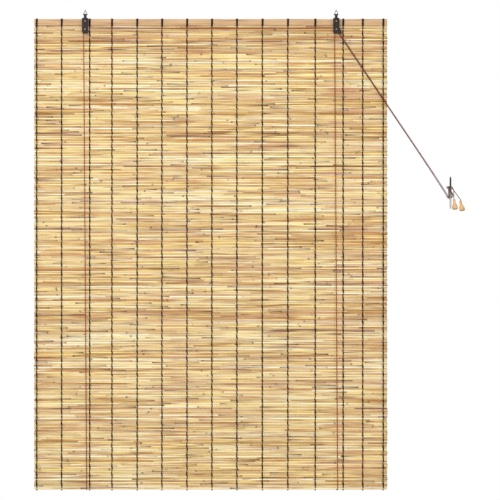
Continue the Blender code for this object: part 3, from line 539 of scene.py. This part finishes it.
def refined(name, node, body, material, width, angle=25):
    """Stands for a CAD node: the same shape with its flat triangles joined and its edges rounded."""
    source = frame["nodes"][node]
    bm = bmesh.new()
    bm.from_mesh(source.data)
    bm.transform(source.matrix_world)
    bmesh.ops.remove_doubles(bm, verts=bm.verts, dist=1e-6)
    flat = math.radians(0.6)
    bmesh.ops.dissolve_limit(bm, angle_limit=flat, verts=bm.verts, edges=bm.edges, delimit={"NORMAL"})
    mesh = bpy.data.meshes.new(name)
    bm.to_mesh(mesh)
    bm.free()
    mesh.materials.append(material)
    obj = bpy.data.objects.new(name, mesh)
    bpy.context.collection.objects.link(obj)
    bevel = obj.modifiers.new("rounded", "BEVEL")
    bevel.width = width
    bevel.segments = 2
    bevel.limit_method = "ANGLE"
    bevel.angle_limit = math.radians(angle)
    mesh.shade_smooth()
    mesh.set_sharp_from_angle(angle=math.radians(50))
    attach(obj, body)
    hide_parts(node)
    return obj


def make_studio():
    """The camera, square to the blind's front, a pale floor that it doesn't see, and two soft lamps."""
    camera = bpy.data.objects.new("camera", bpy.data.cameras.new("camera"))
    bpy.context.collection.objects.link(camera)
    camera.data.lens = CAMERA_LENS
    camera.data.sensor_width = 36.0
    distance = FRAME_WIDTH * CAMERA_LENS / camera.data.sensor_width
    camera.location = CAMERA_AIM + Vector((0, -distance, 0))
    camera.rotation_euler = (math.radians(90), 0, 0)
    camera.data.clip_start, camera.data.clip_end = 0.1, 60
    bpy.context.scene.camera = camera

    floor_z = float(cad_box[0][2]) - FLOOR_DROP
    bpy.ops.mesh.primitive_plane_add(size=5.4, location=(0.1, -1.5, floor_z))
    floor = bpy.context.object
    floor.name = "floor"
    pale = Look("pale_floor", 0.8)
    pale.shader.inputs["Base Color"].default_value = srgb(236, 234, 230)
    floor.data.materials.append(pale.material)

    bpy.context.scene.view_settings.view_transform = "Standard"
    world = bpy.data.worlds.new("studio")
    bpy.context.scene.world = world
    world.use_nodes = True
    background = world.node_tree.nodes["Background"]
    background.inputs["Color"].default_value = (1, 1, 1, 1)
    background.inputs["Strength"].default_value = 1.0
    for name, at, size, power in (
        ("key", (-1.4, -3.2, 1.6), 1.2, 61),
        ("fill", (2.2, -2.8, -0.2), 2.0, 10),
    ):
        lamp = bpy.data.lights.new(name, "AREA")
        lamp.size, lamp.energy = size, power
        obj = bpy.data.objects.new(name, lamp)
        bpy.context.collection.objects.link(obj)
        obj.location = at
        obj.rotation_euler = (LAMP_AIM - Vector(at)).to_track_quat("-Z", "Y").to_euler()


def strip_bounds():
    """The heights that part the mat's strips: its top, a reed's edge in mid-panel, and past its foot."""
    edges = [mat_top]
    lows = hinge_z[1:] + [mat_bottom]
    for top, low in zip(hinge_z, lows):
        reeds = round((top - low) / REED_PITCH)
        edges.append(top - (reeds // 2) * REED_PITCH)
    return edges + [mat_bottom - 1.0]


STRIPS = strip_bounds()


def hang(piece, strip):
    """Rides a piece of the mat on the last panel, or else leaves it fixed where it stands."""
    if strip == PANEL_COUNT:
        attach(piece, f"panel_{PANEL_COUNT:02d}")
        return
    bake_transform(piece)


def reed_points(centre_z, radius, bow):
    """One reed as rings of points: tapered, a little bowed, with raised joints along it."""
    left = -mat_half + rng.uniform(-0.0013, 0.0017)
    right = mat_half + rng.uniform(-0.0017, 0.0013)
    first = rng.uniform(-0.60, -0.40)
    joints_at = first + np.cumsum(np.append(0, rng.uniform(0.14, 0.30, REED_JOINTS - 1)))
    around = np.array([-0.0050, -0.0018, 0.0, 0.0018, 0.0050])
    x = np.concatenate([np.linspace(left, right, REED_RINGS), (joints_at[:, None] + around).ravel()])
    x = np.unique(np.clip(x, left, right))
    from_joint = np.abs(x[:, None] - joints_at).min(1)
    share = (x - left) / (right - left)
    taper = 1 + rng.uniform(-0.07, 0.07) * (share - 0.5) * 2
    wobble = 1 + 0.03 * np.sin(x * rng.uniform(9, 22) + rng.uniform(0, 6))
    ridge = 0.07 * np.exp(-((from_joint / 0.0018) ** 2))
    groove = 0.05 * np.exp(-(((from_joint - 0.0045) / 0.002) ** 2))
    size = radius * taper * wobble * (1 + ridge - groove)
    bow_z = bow * np.sin(x * rng.uniform(2.5, 7.0) + rng.uniform(0, 6))
    bow_y = 0.00025 * np.sin(x * rng.uniform(2.0, 6.0) + rng.uniform(0, 6))
    turn = np.arange(REED_SIDES) * 2 * math.pi / REED_SIDES
    lobe = 1 + 0.03 * np.cos(2 * turn + rng.uniform(0, 6))
    y = bow_y[:, None] + size[:, None] * np.cos(turn) * lobe
    z = centre_z + bow_z[:, None] + size[:, None] * np.sin(turn) * lobe
    points = np.stack([np.broadcast_to(x[:, None], y.shape), y, z], -1).reshape(-1, 3)
    ends = [[left, bow_y[0], centre_z + bow_z[0]], [right, bow_y[-1], centre_z + bow_z[-1]]]
    values = {
        "along": np.append(np.repeat(x, REED_SIDES), [left, right]),
        "round": np.append(np.tile(turn, len(x)), [0, 0]),
        **reed_marks(x, joints_at),
        "seed": rng.uniform(0, 1),
    }
    quads, triangles = rings_to_faces(len(x), REED_SIDES)
    return np.vstack([points, ends]), quads[:, ::-1], triangles[:, ::-1], values


def reed_marks(x, joints_at):
    """Values from 0 to 1 at a reed's points: how pale it is, how dark at its joints, and how stained."""
    from_joints = x[:, None] - joints_at
    tones = np.clip(rng.normal(0, 0.18, REED_JOINTS + 1) + reed_tone(), 0, 1)
    strength = rng.uniform(-1.2, 1.0, REED_JOINTS).clip(0)[np.abs(from_joints).argmin(1)]
    after = np.where(rng.uniform(size=REED_JOINTS) < 0.5, from_joints, -from_joints)
    reach = rng.uniform(0.03, 0.11, REED_JOINTS)
    smears = np.where(after >= 0, np.clip(1 - after / reach, 0, 1), 0)
    smears = smears * rng.uniform(-1.2, 1.0, REED_JOINTS)
    rings = {
        "tone": tones[(from_joints > 0).sum(1)],
        "joint": np.exp(-((np.abs(from_joints).min(1) / 0.0032) ** 2)) * strength,
        "smear": np.clip(smears.max(1), 0, 1),
    }
    cut_ends = {"tone": tones[[0, -1]] * CUT_END_TONE, "joint": [0.5, 0.5], "smear": [0, 0]}
    return {name: np.append(np.repeat(rings[name], REED_SIDES), cut_ends[name]) for name in rings}


def reed_tone():
    """How pale a reed is: most are middling, and some are much darker or paler."""
    tone = rng.normal(0.58, 0.15)
    if rng.uniform() < 0.08:
        tone -= rng.uniform(0.2, 0.35)
    if rng.uniform() < 0.12:
        tone += rng.uniform(0.15, 0.3)
    return tone


def reed_heights():
    """The height of each reed's middle, from the top down."""
    return mat_top - (np.arange(reed_count) + 0.5) * REED_PITCH


def strip_of(z):
    return next(i for i in range(len(STRIPS) - 1) if z > STRIPS[i + 1])


def make_reeds(material):
    """The reeds, in a strip to each hinge of the mat and one at its foot, and the rod, a thicker reed."""
    shapes = [Shape() for _ in range(PANEL_COUNT + 1)]
    for z in reed_heights():
        radius = REED_RADIUS * rng.uniform(0.93, 1.04)
        points, quads, triangles, values = reed_points(z, radius, REED_BOW)
        shapes[strip_of(z)].add(points, quads, triangles, **values)
    for strip, shape in enumerate(shapes):
        reeds = shape.make(f"reeds_{strip:02d}", material)
        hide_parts("mat_head_panel" if strip == 0 else f"mat_panel_{strip:02d}")
        hang(reeds, strip)
    rod = Shape()
    points, quads, triangles, values = reed_points(rod_z, rod_radius, 0.0)
    values["tone"] = np.full(len(points), 0.72)
    rod.add(points, quads, triangles, **values)
    rod = rod.make("bottom_rod_reed", material)
    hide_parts("bottom_rod")
    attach(rod, f"panel_{PANEL_COUNT:02d}")


def warp_path(x, hand, tops):
    """One of the two strands of a warp thread, which crosses its twin between every two reeds."""
    depths = np.append(np.full(len(tops), REED_RADIUS), rod_radius) + THREAD_RADIUS * THREAD_SINK
    centres = np.append(tops, rod_z)
    points, radii = [], []
    for i in range(len(centres)):
        side = hand if i % 2 == 0 else -hand
        points.append((x, side * -depths[i], centres[i]))
        radii.append(THREAD_RADIUS)
        if i + 1 == len(centres):
            break
        for share in (0.3, 0.5, 0.7):
            z = centres[i] + (centres[i + 1] - centres[i]) * share
            depth = (depths[i] + depths[i + 1]) / 2 * math.cos(math.pi * share)
            offset = THREAD_OFFSET * math.sin(math.pi * share) * (hand if i % 2 else -hand)
            points.append((x + offset, side * -depth, z))
            radii.append(THREAD_RADIUS * (0.85 if share != 0.5 else 0.7))
    return np.array(points), np.array(radii)


def make_warps(material):
    """The twined warp threads in strips, with a knot under the rod on each."""
    heights = reed_heights()
    shapes = [Shape() for _ in range(PANEL_COUNT + 1)]
    for x in WARP_X:
        for hand in (1, -1):
            sway = rng.uniform(-0.0005, 0.0005)
            path, radii = warp_path(x + sway, hand, heights)
            strips = np.array([strip_of(z) for z in path[:, 2]])
            seed = rng.uniform(0, 9)
            for strip in range(PANEL_COUNT + 1):
                inside = np.flatnonzero(strips == strip)
                low, high = inside[0], min(inside[-1] + 2, len(path))
                run, thick = path[low:high], radii[low:high]
                add_tube(shapes[strip], run, thick, 6, seed=seed, round_ends=False, flat=THREAD_FLAT)
        knot = knot_path(x, rod_z - rod_radius - KNOT_DROP)
        add_tube(shapes[-1], knot, KNOT_THREAD, 6, closed=True, seed=x)
    for strip, shape in enumerate(shapes):
        threads = shape.make(f"warp_threads_{strip:02d}", material)
        hang(threads, strip)


def knot_path(x, z):
    """A small overhand knot, drawn tight, as a trefoil line."""
    t = np.arange(24) * 2 * math.pi / 24
    across = KNOT_SIZE * (np.sin(t) + 2 * np.sin(2 * t))
    down = 0.55 * KNOT_SIZE * (np.cos(t) - 2 * np.cos(2 * t))
    return np.stack([x + across, -KNOT_SIZE * 1.5 * np.sin(3 * t), z + down], 1)


def make_bindings(material):
    """Each warp is wound three times round the batten before it starts down the mat."""
    shape = Shape()
    half_y, half_z = BATTEN_HALF_Y + BINDING_THREAD, BATTEN_HALF_Z + BINDING_THREAD
    centre_y, centre_z = middle_of("hem_batten")[1], mat_top + BATTEN_HALF_Z
    steps = np.arange(BINDING_STEPS * BINDING_TURNS + 1)
    turn = steps * 2 * math.pi / BINDING_STEPS + math.pi * 0.5
    across, up = np.cos(turn), np.sin(turn)
    square = (np.abs(across) ** 7 + np.abs(up) ** 7) ** (-1 / 7)
    y, z = centre_y - half_y * across * square, centre_z + half_z * up * square
    pitch = (steps / BINDING_STEPS - BINDING_TURNS / 2) * BINDING_PITCH
    for x in WARP_X:
        seed = rng.uniform(0, 9)
        lay = rng.uniform(-0.0002, 0.0002, len(steps))
        add_tube(shape, np.stack([x + pitch + lay, y, z], 1), BINDING_THREAD, 8, seed=seed)
    bindings = shape.make("batten_bindings", material)
    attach(bindings, "blind")


def make_batten(material):
    """The hem batten: planed wood with eased edges that wander a little."""
    shape = Shape()
    stations = np.linspace(-mat_half, mat_half, 61)
    flat_y, flat_z = BATTEN_HALF_Y - BATTEN_EASE, BATTEN_HALF_Z - BATTEN_EASE
    section = []
    for sign_y, sign_z, start in ((1, 1, 0), (-1, 1, 90), (-1, -1, 180), (1, -1, 270)):
        for turn in np.radians(start + np.linspace(0, 90, 4)):
            y = sign_y * flat_y + BATTEN_EASE * math.cos(turn)
            z = sign_z * flat_z + BATTEN_EASE * math.sin(turn)
            section.append((y, z))
    section = np.array(section)
    wander = 0.00012 * rng.normal(size=(len(stations), len(section), 2))
    rings = section[None] + wander
    centre_z = mat_top + BATTEN_HALF_Z
    x = np.broadcast_to(stations[:, None], rings.shape[:2])
    points = np.stack([x, rings[..., 0], centre_z + rings[..., 1]], -1).reshape(-1, 3)
    points = np.vstack([points, [-mat_half, 0, centre_z], [mat_half, 0, centre_z]])
    quads, triangles = rings_to_faces(len(stations), len(section))
    shape.add(points, quads[:, ::-1], triangles[:, ::-1])
    batten = shape.make("hem_batten_wood", material, auto_sharp=40)
    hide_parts("hem_batten")
    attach(batten, "blind")


def lift_strand(side, front, heights):
    """The middle line of a lift cord's strand at these heights, in front of the mat or behind it."""
    sheave_x = sheaves[side][0]
    if front:
        share = (heights - rise_z) / (rod_z - rise_z)
        x = sheave_x - SHEAVE_TURN + LIFT_DRIFT * np.clip(share, 0, 1)
        y = -CORD_STAND_OFF
    else:
        x = sheave_x + (LIFT_BACK_INSET if side == "left" else -LIFT_BACK_INSET)
        y = CORD_STAND_OFF
    return np.stack(np.broadcast_arrays(x, y, heights), 1)


def make_lift_strands(material):
    """The stretches of the lift cords that run down the mat's front and back, strip by strip."""
    for strip in range(PANEL_COUNT + 1):
        shape = Shape()
        top = STRIPS[strip] if strip else rise_z
        low = STRIPS[strip + 1] if strip < PANEL_COUNT else rod_z
        back_top = top if strip else mat_top - LIFT_BACK_DROP
        for number, side in enumerate(("left", "right")):
            for front in (True, False):
                start = top if front else back_top
                heights = np.linspace(start, low, max(4, int((start - low) / STRAND_STEP)))
                path = lift_strand(side, front, heights)
                if strip == PANEL_COUNT:
                    path[-1][1] = -rod_turn if front else rod_turn
                add_tube(shape, path, CORD_RADIUS, 12, seed=number + 0.3 * front, round_ends=False)
            if strip == PANEL_COUNT:
                add_tube(shape, under_rod(side), CORD_RADIUS, 12, seed=number)
        strands = shape.make(f"lift_strands_{strip:02d}", material)
        if strip == 0:
            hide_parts("lift_cord_left", "lift_cord_right")
        hang(strands, strip)


def under_rod(side):
    """The turn of a lift cord under the bottom rod, from the back strand to the front one."""
    back = lift_strand(side, False, np.array([rod_z]))[0]
    front = lift_strand(side, True, np.array([rod_z]))[0]
    angles = np.radians(np.linspace(0, -180, 15))
    x = back[0] + (front[0] - back[0]) * np.clip(np.linspace(0, 2, 15), 0, 1)
    return np.stack([x, rod_turn * np.cos(angles), rod_z + rod_turn * np.sin(angles)], 1)


def lift_route(side):
    """A lift cord's way from the mat over its sheave and out of the lock, to which the left one crosses."""
    at, lock = sheaves[side], sheaves["right"]
    top = lift_strand(side, True, np.array([rise_z]))[0]
    route = [top, (top[0], (top[1] * 2 + at[1]) / 3, top[2] + 0.013)]
    route.append((at[0] - SHEAVE_TURN, at[1], sheave_z - 0.008))
    if side == "left":
        route += arc(at, SHEAVE_TURN, 180, 90, 8)
        start, end = route[-1], np.array([lock[0], front_sheave_y, sheave_z + SHEAVE_TURN])
        for share in np.linspace(0.1, 0.9, 9):
            sag = CROSS_SAG * 4 * share * (1 - share)
            route.append(start + (end - start) * share - [0, 0, sag])
        route += arc((lock[0], front_sheave_y, sheave_z), SHEAVE_TURN, 90, LOCK_LEAVE[side], 7)
    else:
        route += arc(at, SHEAVE_TURN, 180, LOCK_LEAVE[side], 14)
    route.append((lock[0] + LOCK_EXIT_X[side], route[-1][1], LOCK_EXIT_Z))
    return route


def make_lift_heads(material):
    """The lift cords at the head: their tied ends, and their ways over the sheaves."""
    for side in ("left", "right"):
        line = smooth_route(lift_route(side), 0.004)
        radius = np.full(len(line), CORD_RADIUS)
        if side == "left":
            across = (line[:, 0] - sheaves["left"][0]) / (sheaves["right"][0] - sheaves["left"][0])
            lint = np.clip(np.sin(math.pi * np.clip(across, 0, 1)) * 3, 0, 1)
            radius = CORD_RADIUS * (1 + CROSS_FLUFF * lint)
        shape = Shape()
        add_tube(shape, line, radius, 12, seed=3.1)
        add_tube(shape, tack_route(side), CORD_RADIUS, 12, seed=5.2)
        head = shape.make(f"lift_cord_{side}_head", material)
        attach(head, "blind")


def tack_route(side):
    """A lift cord's tied end: up the batten's back and most of a turn round the tack."""
    tack = middle_of(f"{side}_cord_tack")
    strand = lift_strand(side, False, np.array([mat_top - LIFT_BACK_DROP]))[0]
    radius = tack[0] - strand[0]
    near, far = 0.0067, 0.0098
    turns = arc((tack[0], 0, tack[2]), radius, 180, -130, 20)
    for i, point in enumerate(turns):
        point[1] = near + (far - near) * i / (len(turns) - 1)
    return smooth_route([strand, (strand[0], near, mat_top + 0.003)] + turns, 0.002)


def cleat_turns(half_width, half_height, half_depth):
    """A pull cord's figure of eight: behind the lower horn, over the bar, behind the upper horn."""
    a = np.linspace(TURN_START, TURN_END, 109)
    x = TURN_X + half_width * np.sin(2 * a)
    y = CLEAT_BAR_Y + half_depth * np.cos(2 * a)
    z = TURN_Z - half_height * np.cos(a) - TURN_SKEW * np.cos(a) ** 2
    return np.stack([x, y, z], 1)


def acorn_end(side):
    """Where a cord comes down into its acorn's top."""
    top = np.array(joints[f"acorn_{side}_swing"]["pos_m"])
    up = np.array([-math.sin(ACORN_LEAN[side]), 0, math.cos(ACORN_LEAN[side])])
    return [top + up * 0.006, top]


def make_pull_cords(material):
    """The free cords: from the lock straight to the cleat, crossed on it and down into the acorns."""
    lock_x, rear_sheave_y = float(sheaves["right"][0]), float(sheaves["right"][1])
    exits = {"left": (lock_x + 0.0133, front_sheave_y), "right": (lock_x + 0.0099, rear_sheave_y)}
    runs = {
        "left": [(0.4750, -0.0125, -0.1342), (0.6090, -0.0100, -0.3337), (0.7400, -0.0080, -0.5282)],
        "right": [(0.4720, -0.0088, -0.1345), (0.6060, -0.0082, -0.3340), (0.7375, -0.0078, -0.5300)],
    }
    crossings = {"left": cleat_turns(0.0078, 0.0170, 0.0051), "right": cleat_turns(0.0108, 0.0200, 0.0081)}
    tails = {
        "left": [(0.8245, -0.0010, -0.6095), (0.8330, 0.0010, -0.6205), (0.8412, 0.0028, -0.6320)],
        "right": [(0.8238, 0.0026, -0.6040), (0.8264, 0.0036, -0.6125), (0.8270, 0.0040, -0.6250)],
    }
    for side, acorn in (("left", "right"), ("right", "left")):
        run = [(*exits[side], PULL_EXIT_Z)] + runs[side]
        turns = crossings[side]
        tail = tails[side] + acorn_end(acorn)
        path = np.vstack(
            [
                smooth_route(run + [turns[0]], 0.012)[:-1],
                turns[:-1],
                smooth_route([turns[-1]] + tail, 0.0015),
            ]
        )
        shape = Shape()
        add_tube(shape, path, PULL_RADIUS, 12, seed=7.7 if side == "left" else 8.4)
        cord = shape.make(f"pull_cord_{side}_braid", material)
        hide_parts(f"pull_cord_{side}")
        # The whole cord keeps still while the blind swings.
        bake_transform(cord)


def make_acorn(side, material):
    """A turned acorn: a flared collar over a swelling body, hung on its cord."""
    shape = turned([(r * ACORN_RADIUS, -h * ACORN_LENGTH) for r, h in ACORN_PROFILE], 40)
    x, y, z = shape.points[0].T
    cos, sin = math.cos(ACORN_LEAN[side]), math.sin(ACORN_LEAN[side])
    leaning = np.stack([cos * x - sin * z, y, sin * x + cos * z], 1)
    shape.points[0] = leaning + np.array(joints[f"acorn_{side}_swing"]["pos_m"])
    acorn = shape.make(f"acorn_wood_{side}", material, auto_sharp=50)
    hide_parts(f"acorn_{side}")
    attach(acorn, f"acorn_{side}")


def make_bail(side, material):
    """A wire bent to a triangle with round corners."""
    low, high = corners_of(f"{side}_bail")
    x = (low[0] + high[0]) / 2
    base_z = joints["blind_swing"]["pos_m"][2]
    tip_z = high[2] - BAIL_WIRE + 0.0008
    left_x, right_x = low[0] + BAIL_WIRE - 0.0006, high[0] - BAIL_WIRE + 0.0006
    corners = np.array([[left_x, base_z], [right_x, base_z], [x, tip_z]])
    path = []
    for i in range(3):
        here, before, after = corners[i], corners[i - 1], corners[(i + 1) % 3]
        enter = here + (before - here) / np.linalg.norm(before - here) * BAIL_BEND
        leave = here + (after - here) / np.linalg.norm(after - here) * BAIL_BEND
        for t in np.linspace(0, 1, 6):
            path.append((1 - t) ** 2 * enter + 2 * t * (1 - t) * here + t * t * leave)
        next_enter = after + (here - after) / np.linalg.norm(here - after) * BAIL_BEND
        for t in np.linspace(0.2, 0.8, 4):
            path.append(leave + (next_enter - leave) * t)
    path = np.array([(point[0], 0.0, point[1]) for point in path])
    shape = Shape()
    add_tube(shape, path, BAIL_WIRE, 12, closed=True)
    bail = shape.make(f"{side}_bail_wire", material)
    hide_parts(f"{side}_bail")
    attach(bail, "root")


def make_cleat_bar(material):
    """The cleat's bar as cast: round, with blunt ends that rise a little."""
    low, high = corners_of("cleat")
    x, centre, half = (low[0] + high[0]) / 2, (low[2] + high[2]) / 2, (high[2] - low[2]) / 2
    share = np.linspace(-1, 1, 65)
    reach = np.abs(share)
    blunting = np.sqrt(np.clip(1 - np.clip(reach - 0.87, 0, 1) * 6, 0.2, 1))
    radius = (0.00325 - 0.00025 * reach**1.5) * blunting * 1.01
    y = CLEAT_BAR_Y - CLEAT_RISE * np.clip(reach - CLEAT_STRAIGHT, 0, 1) ** 2
    shape = Shape()
    path = np.stack([np.full(65, x), y, centre + share * (half - 0.0002)], 1)
    add_tube(shape, path, radius, 24, round_ends=False)
    bar = shape.make("cleat_bar_cast", material)
    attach(bar, "root")


def make_hardware(looks):
    """The metal, nylon and wood pieces, most of them the CAD's shapes with rounded edges."""
    for side in ("left", "right"):
        make_bail(side, looks["wire"])
        refined(f"{side}_housing_plate", f"{side}_pulley_housing", "blind", looks["housing"], 0.0005)
        refined(f"{side}_neck_bracket", f"{side}_neck", "blind", looks["neck"], 0.0004)
        refined(f"{side}_screw_head", f"{side}_fixing_screw", "blind", looks["bright"], 0.0002)
        refined(f"{side}_axle_rivet", f"{side}_axle", "blind", looks["bright"], 0.0002)
        refined(f"{side}_tack", f"{side}_cord_tack", "blind", looks["bright"], 0.0002)
    for node in ("left_sheave", "right_sheave_front", "right_sheave_rear"):
        refined(f"{node}_wheel", node, node, looks["nylon"], 0.00008)
    refined("lock_roller_sleeve", "lock_roller", "lock_roller", looks["wire"], 0.0002)
    refined("lock_roller_pin", "lock_pin", "lock_roller", looks["bright"], 0.0002)
    for word in ("upper", "lower"):
        refined(f"cleat_{word}_screw", f"cleat_screw_{word}", "root", looks["bright"], 0.0002)
    refined("wall_cleat", "cleat", "root", looks["cleat"], 0.0007, angle=40)
    for side in ("left", "right"):
        make_acorn(side, looks["acorn"])
    make_cleat_bar(looks["cleat"])


make_studio()
lift_braid = cord_look("lift_cord_braid", srgb(188, 84, 32), srgb(120, 50, 17), srgb(176, 104, 56), 260, 4)
pull_braid = cord_look("pull_cord_braid", srgb(140, 66, 42), srgb(78, 34, 22), srgb(138, 84, 62), 280, 4)
reed = reed_look()
thread = thread_look()
make_reeds(reed)
make_warps(thread)
make_bindings(thread)
pine = srgb(206, 172, 130), srgb(190, 153, 111), srgb(156, 112, 76)
beech = srgb(226, 190, 136), srgb(210, 166, 110), srgb(176, 128, 80)
make_batten(wood_look("batten_pine", *pine, (7, 210, 210)))
make_lift_strands(lift_braid)
make_lift_heads(lift_braid)
cleat_low, cleat_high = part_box("cleat")
make_hardware(
    {
        "wire": metal_look("drawn_wire", srgb(92, 89, 86), srgb(146, 142, 136), 300, 0.35),
        "housing": metal_look(
            "bronzed_plate", srgb(48, 39, 37), srgb(88, 72, 66), 160, 0.36, (0.55, 0.8), 0.75
        ),
        "neck": metal_look("dark_bracket", srgb(42, 50, 44), srgb(84, 90, 82), 200, 0.42, (0.55, 0.8), 0.7),
        "bright": metal_look("plated_steel", srgb(168, 164, 158), srgb(206, 202, 196), 240, 0.24),
        "nylon": metal_look("dark_nylon", srgb(46, 45, 43), srgb(66, 64, 60), 300, 0.5, (0.5, 0.8), 0.0),
        "cleat": cleat_look(float(cleat_low[2]), float(cleat_high[2])),
        # The acorn's last colour is painted shade on its underside.
        "acorn": wood_look("acorn_beech", *beech, (260, 260, 30), 0.45, srgb(104, 74, 46)),
    }
)
make_pull_cords(pull_braid)
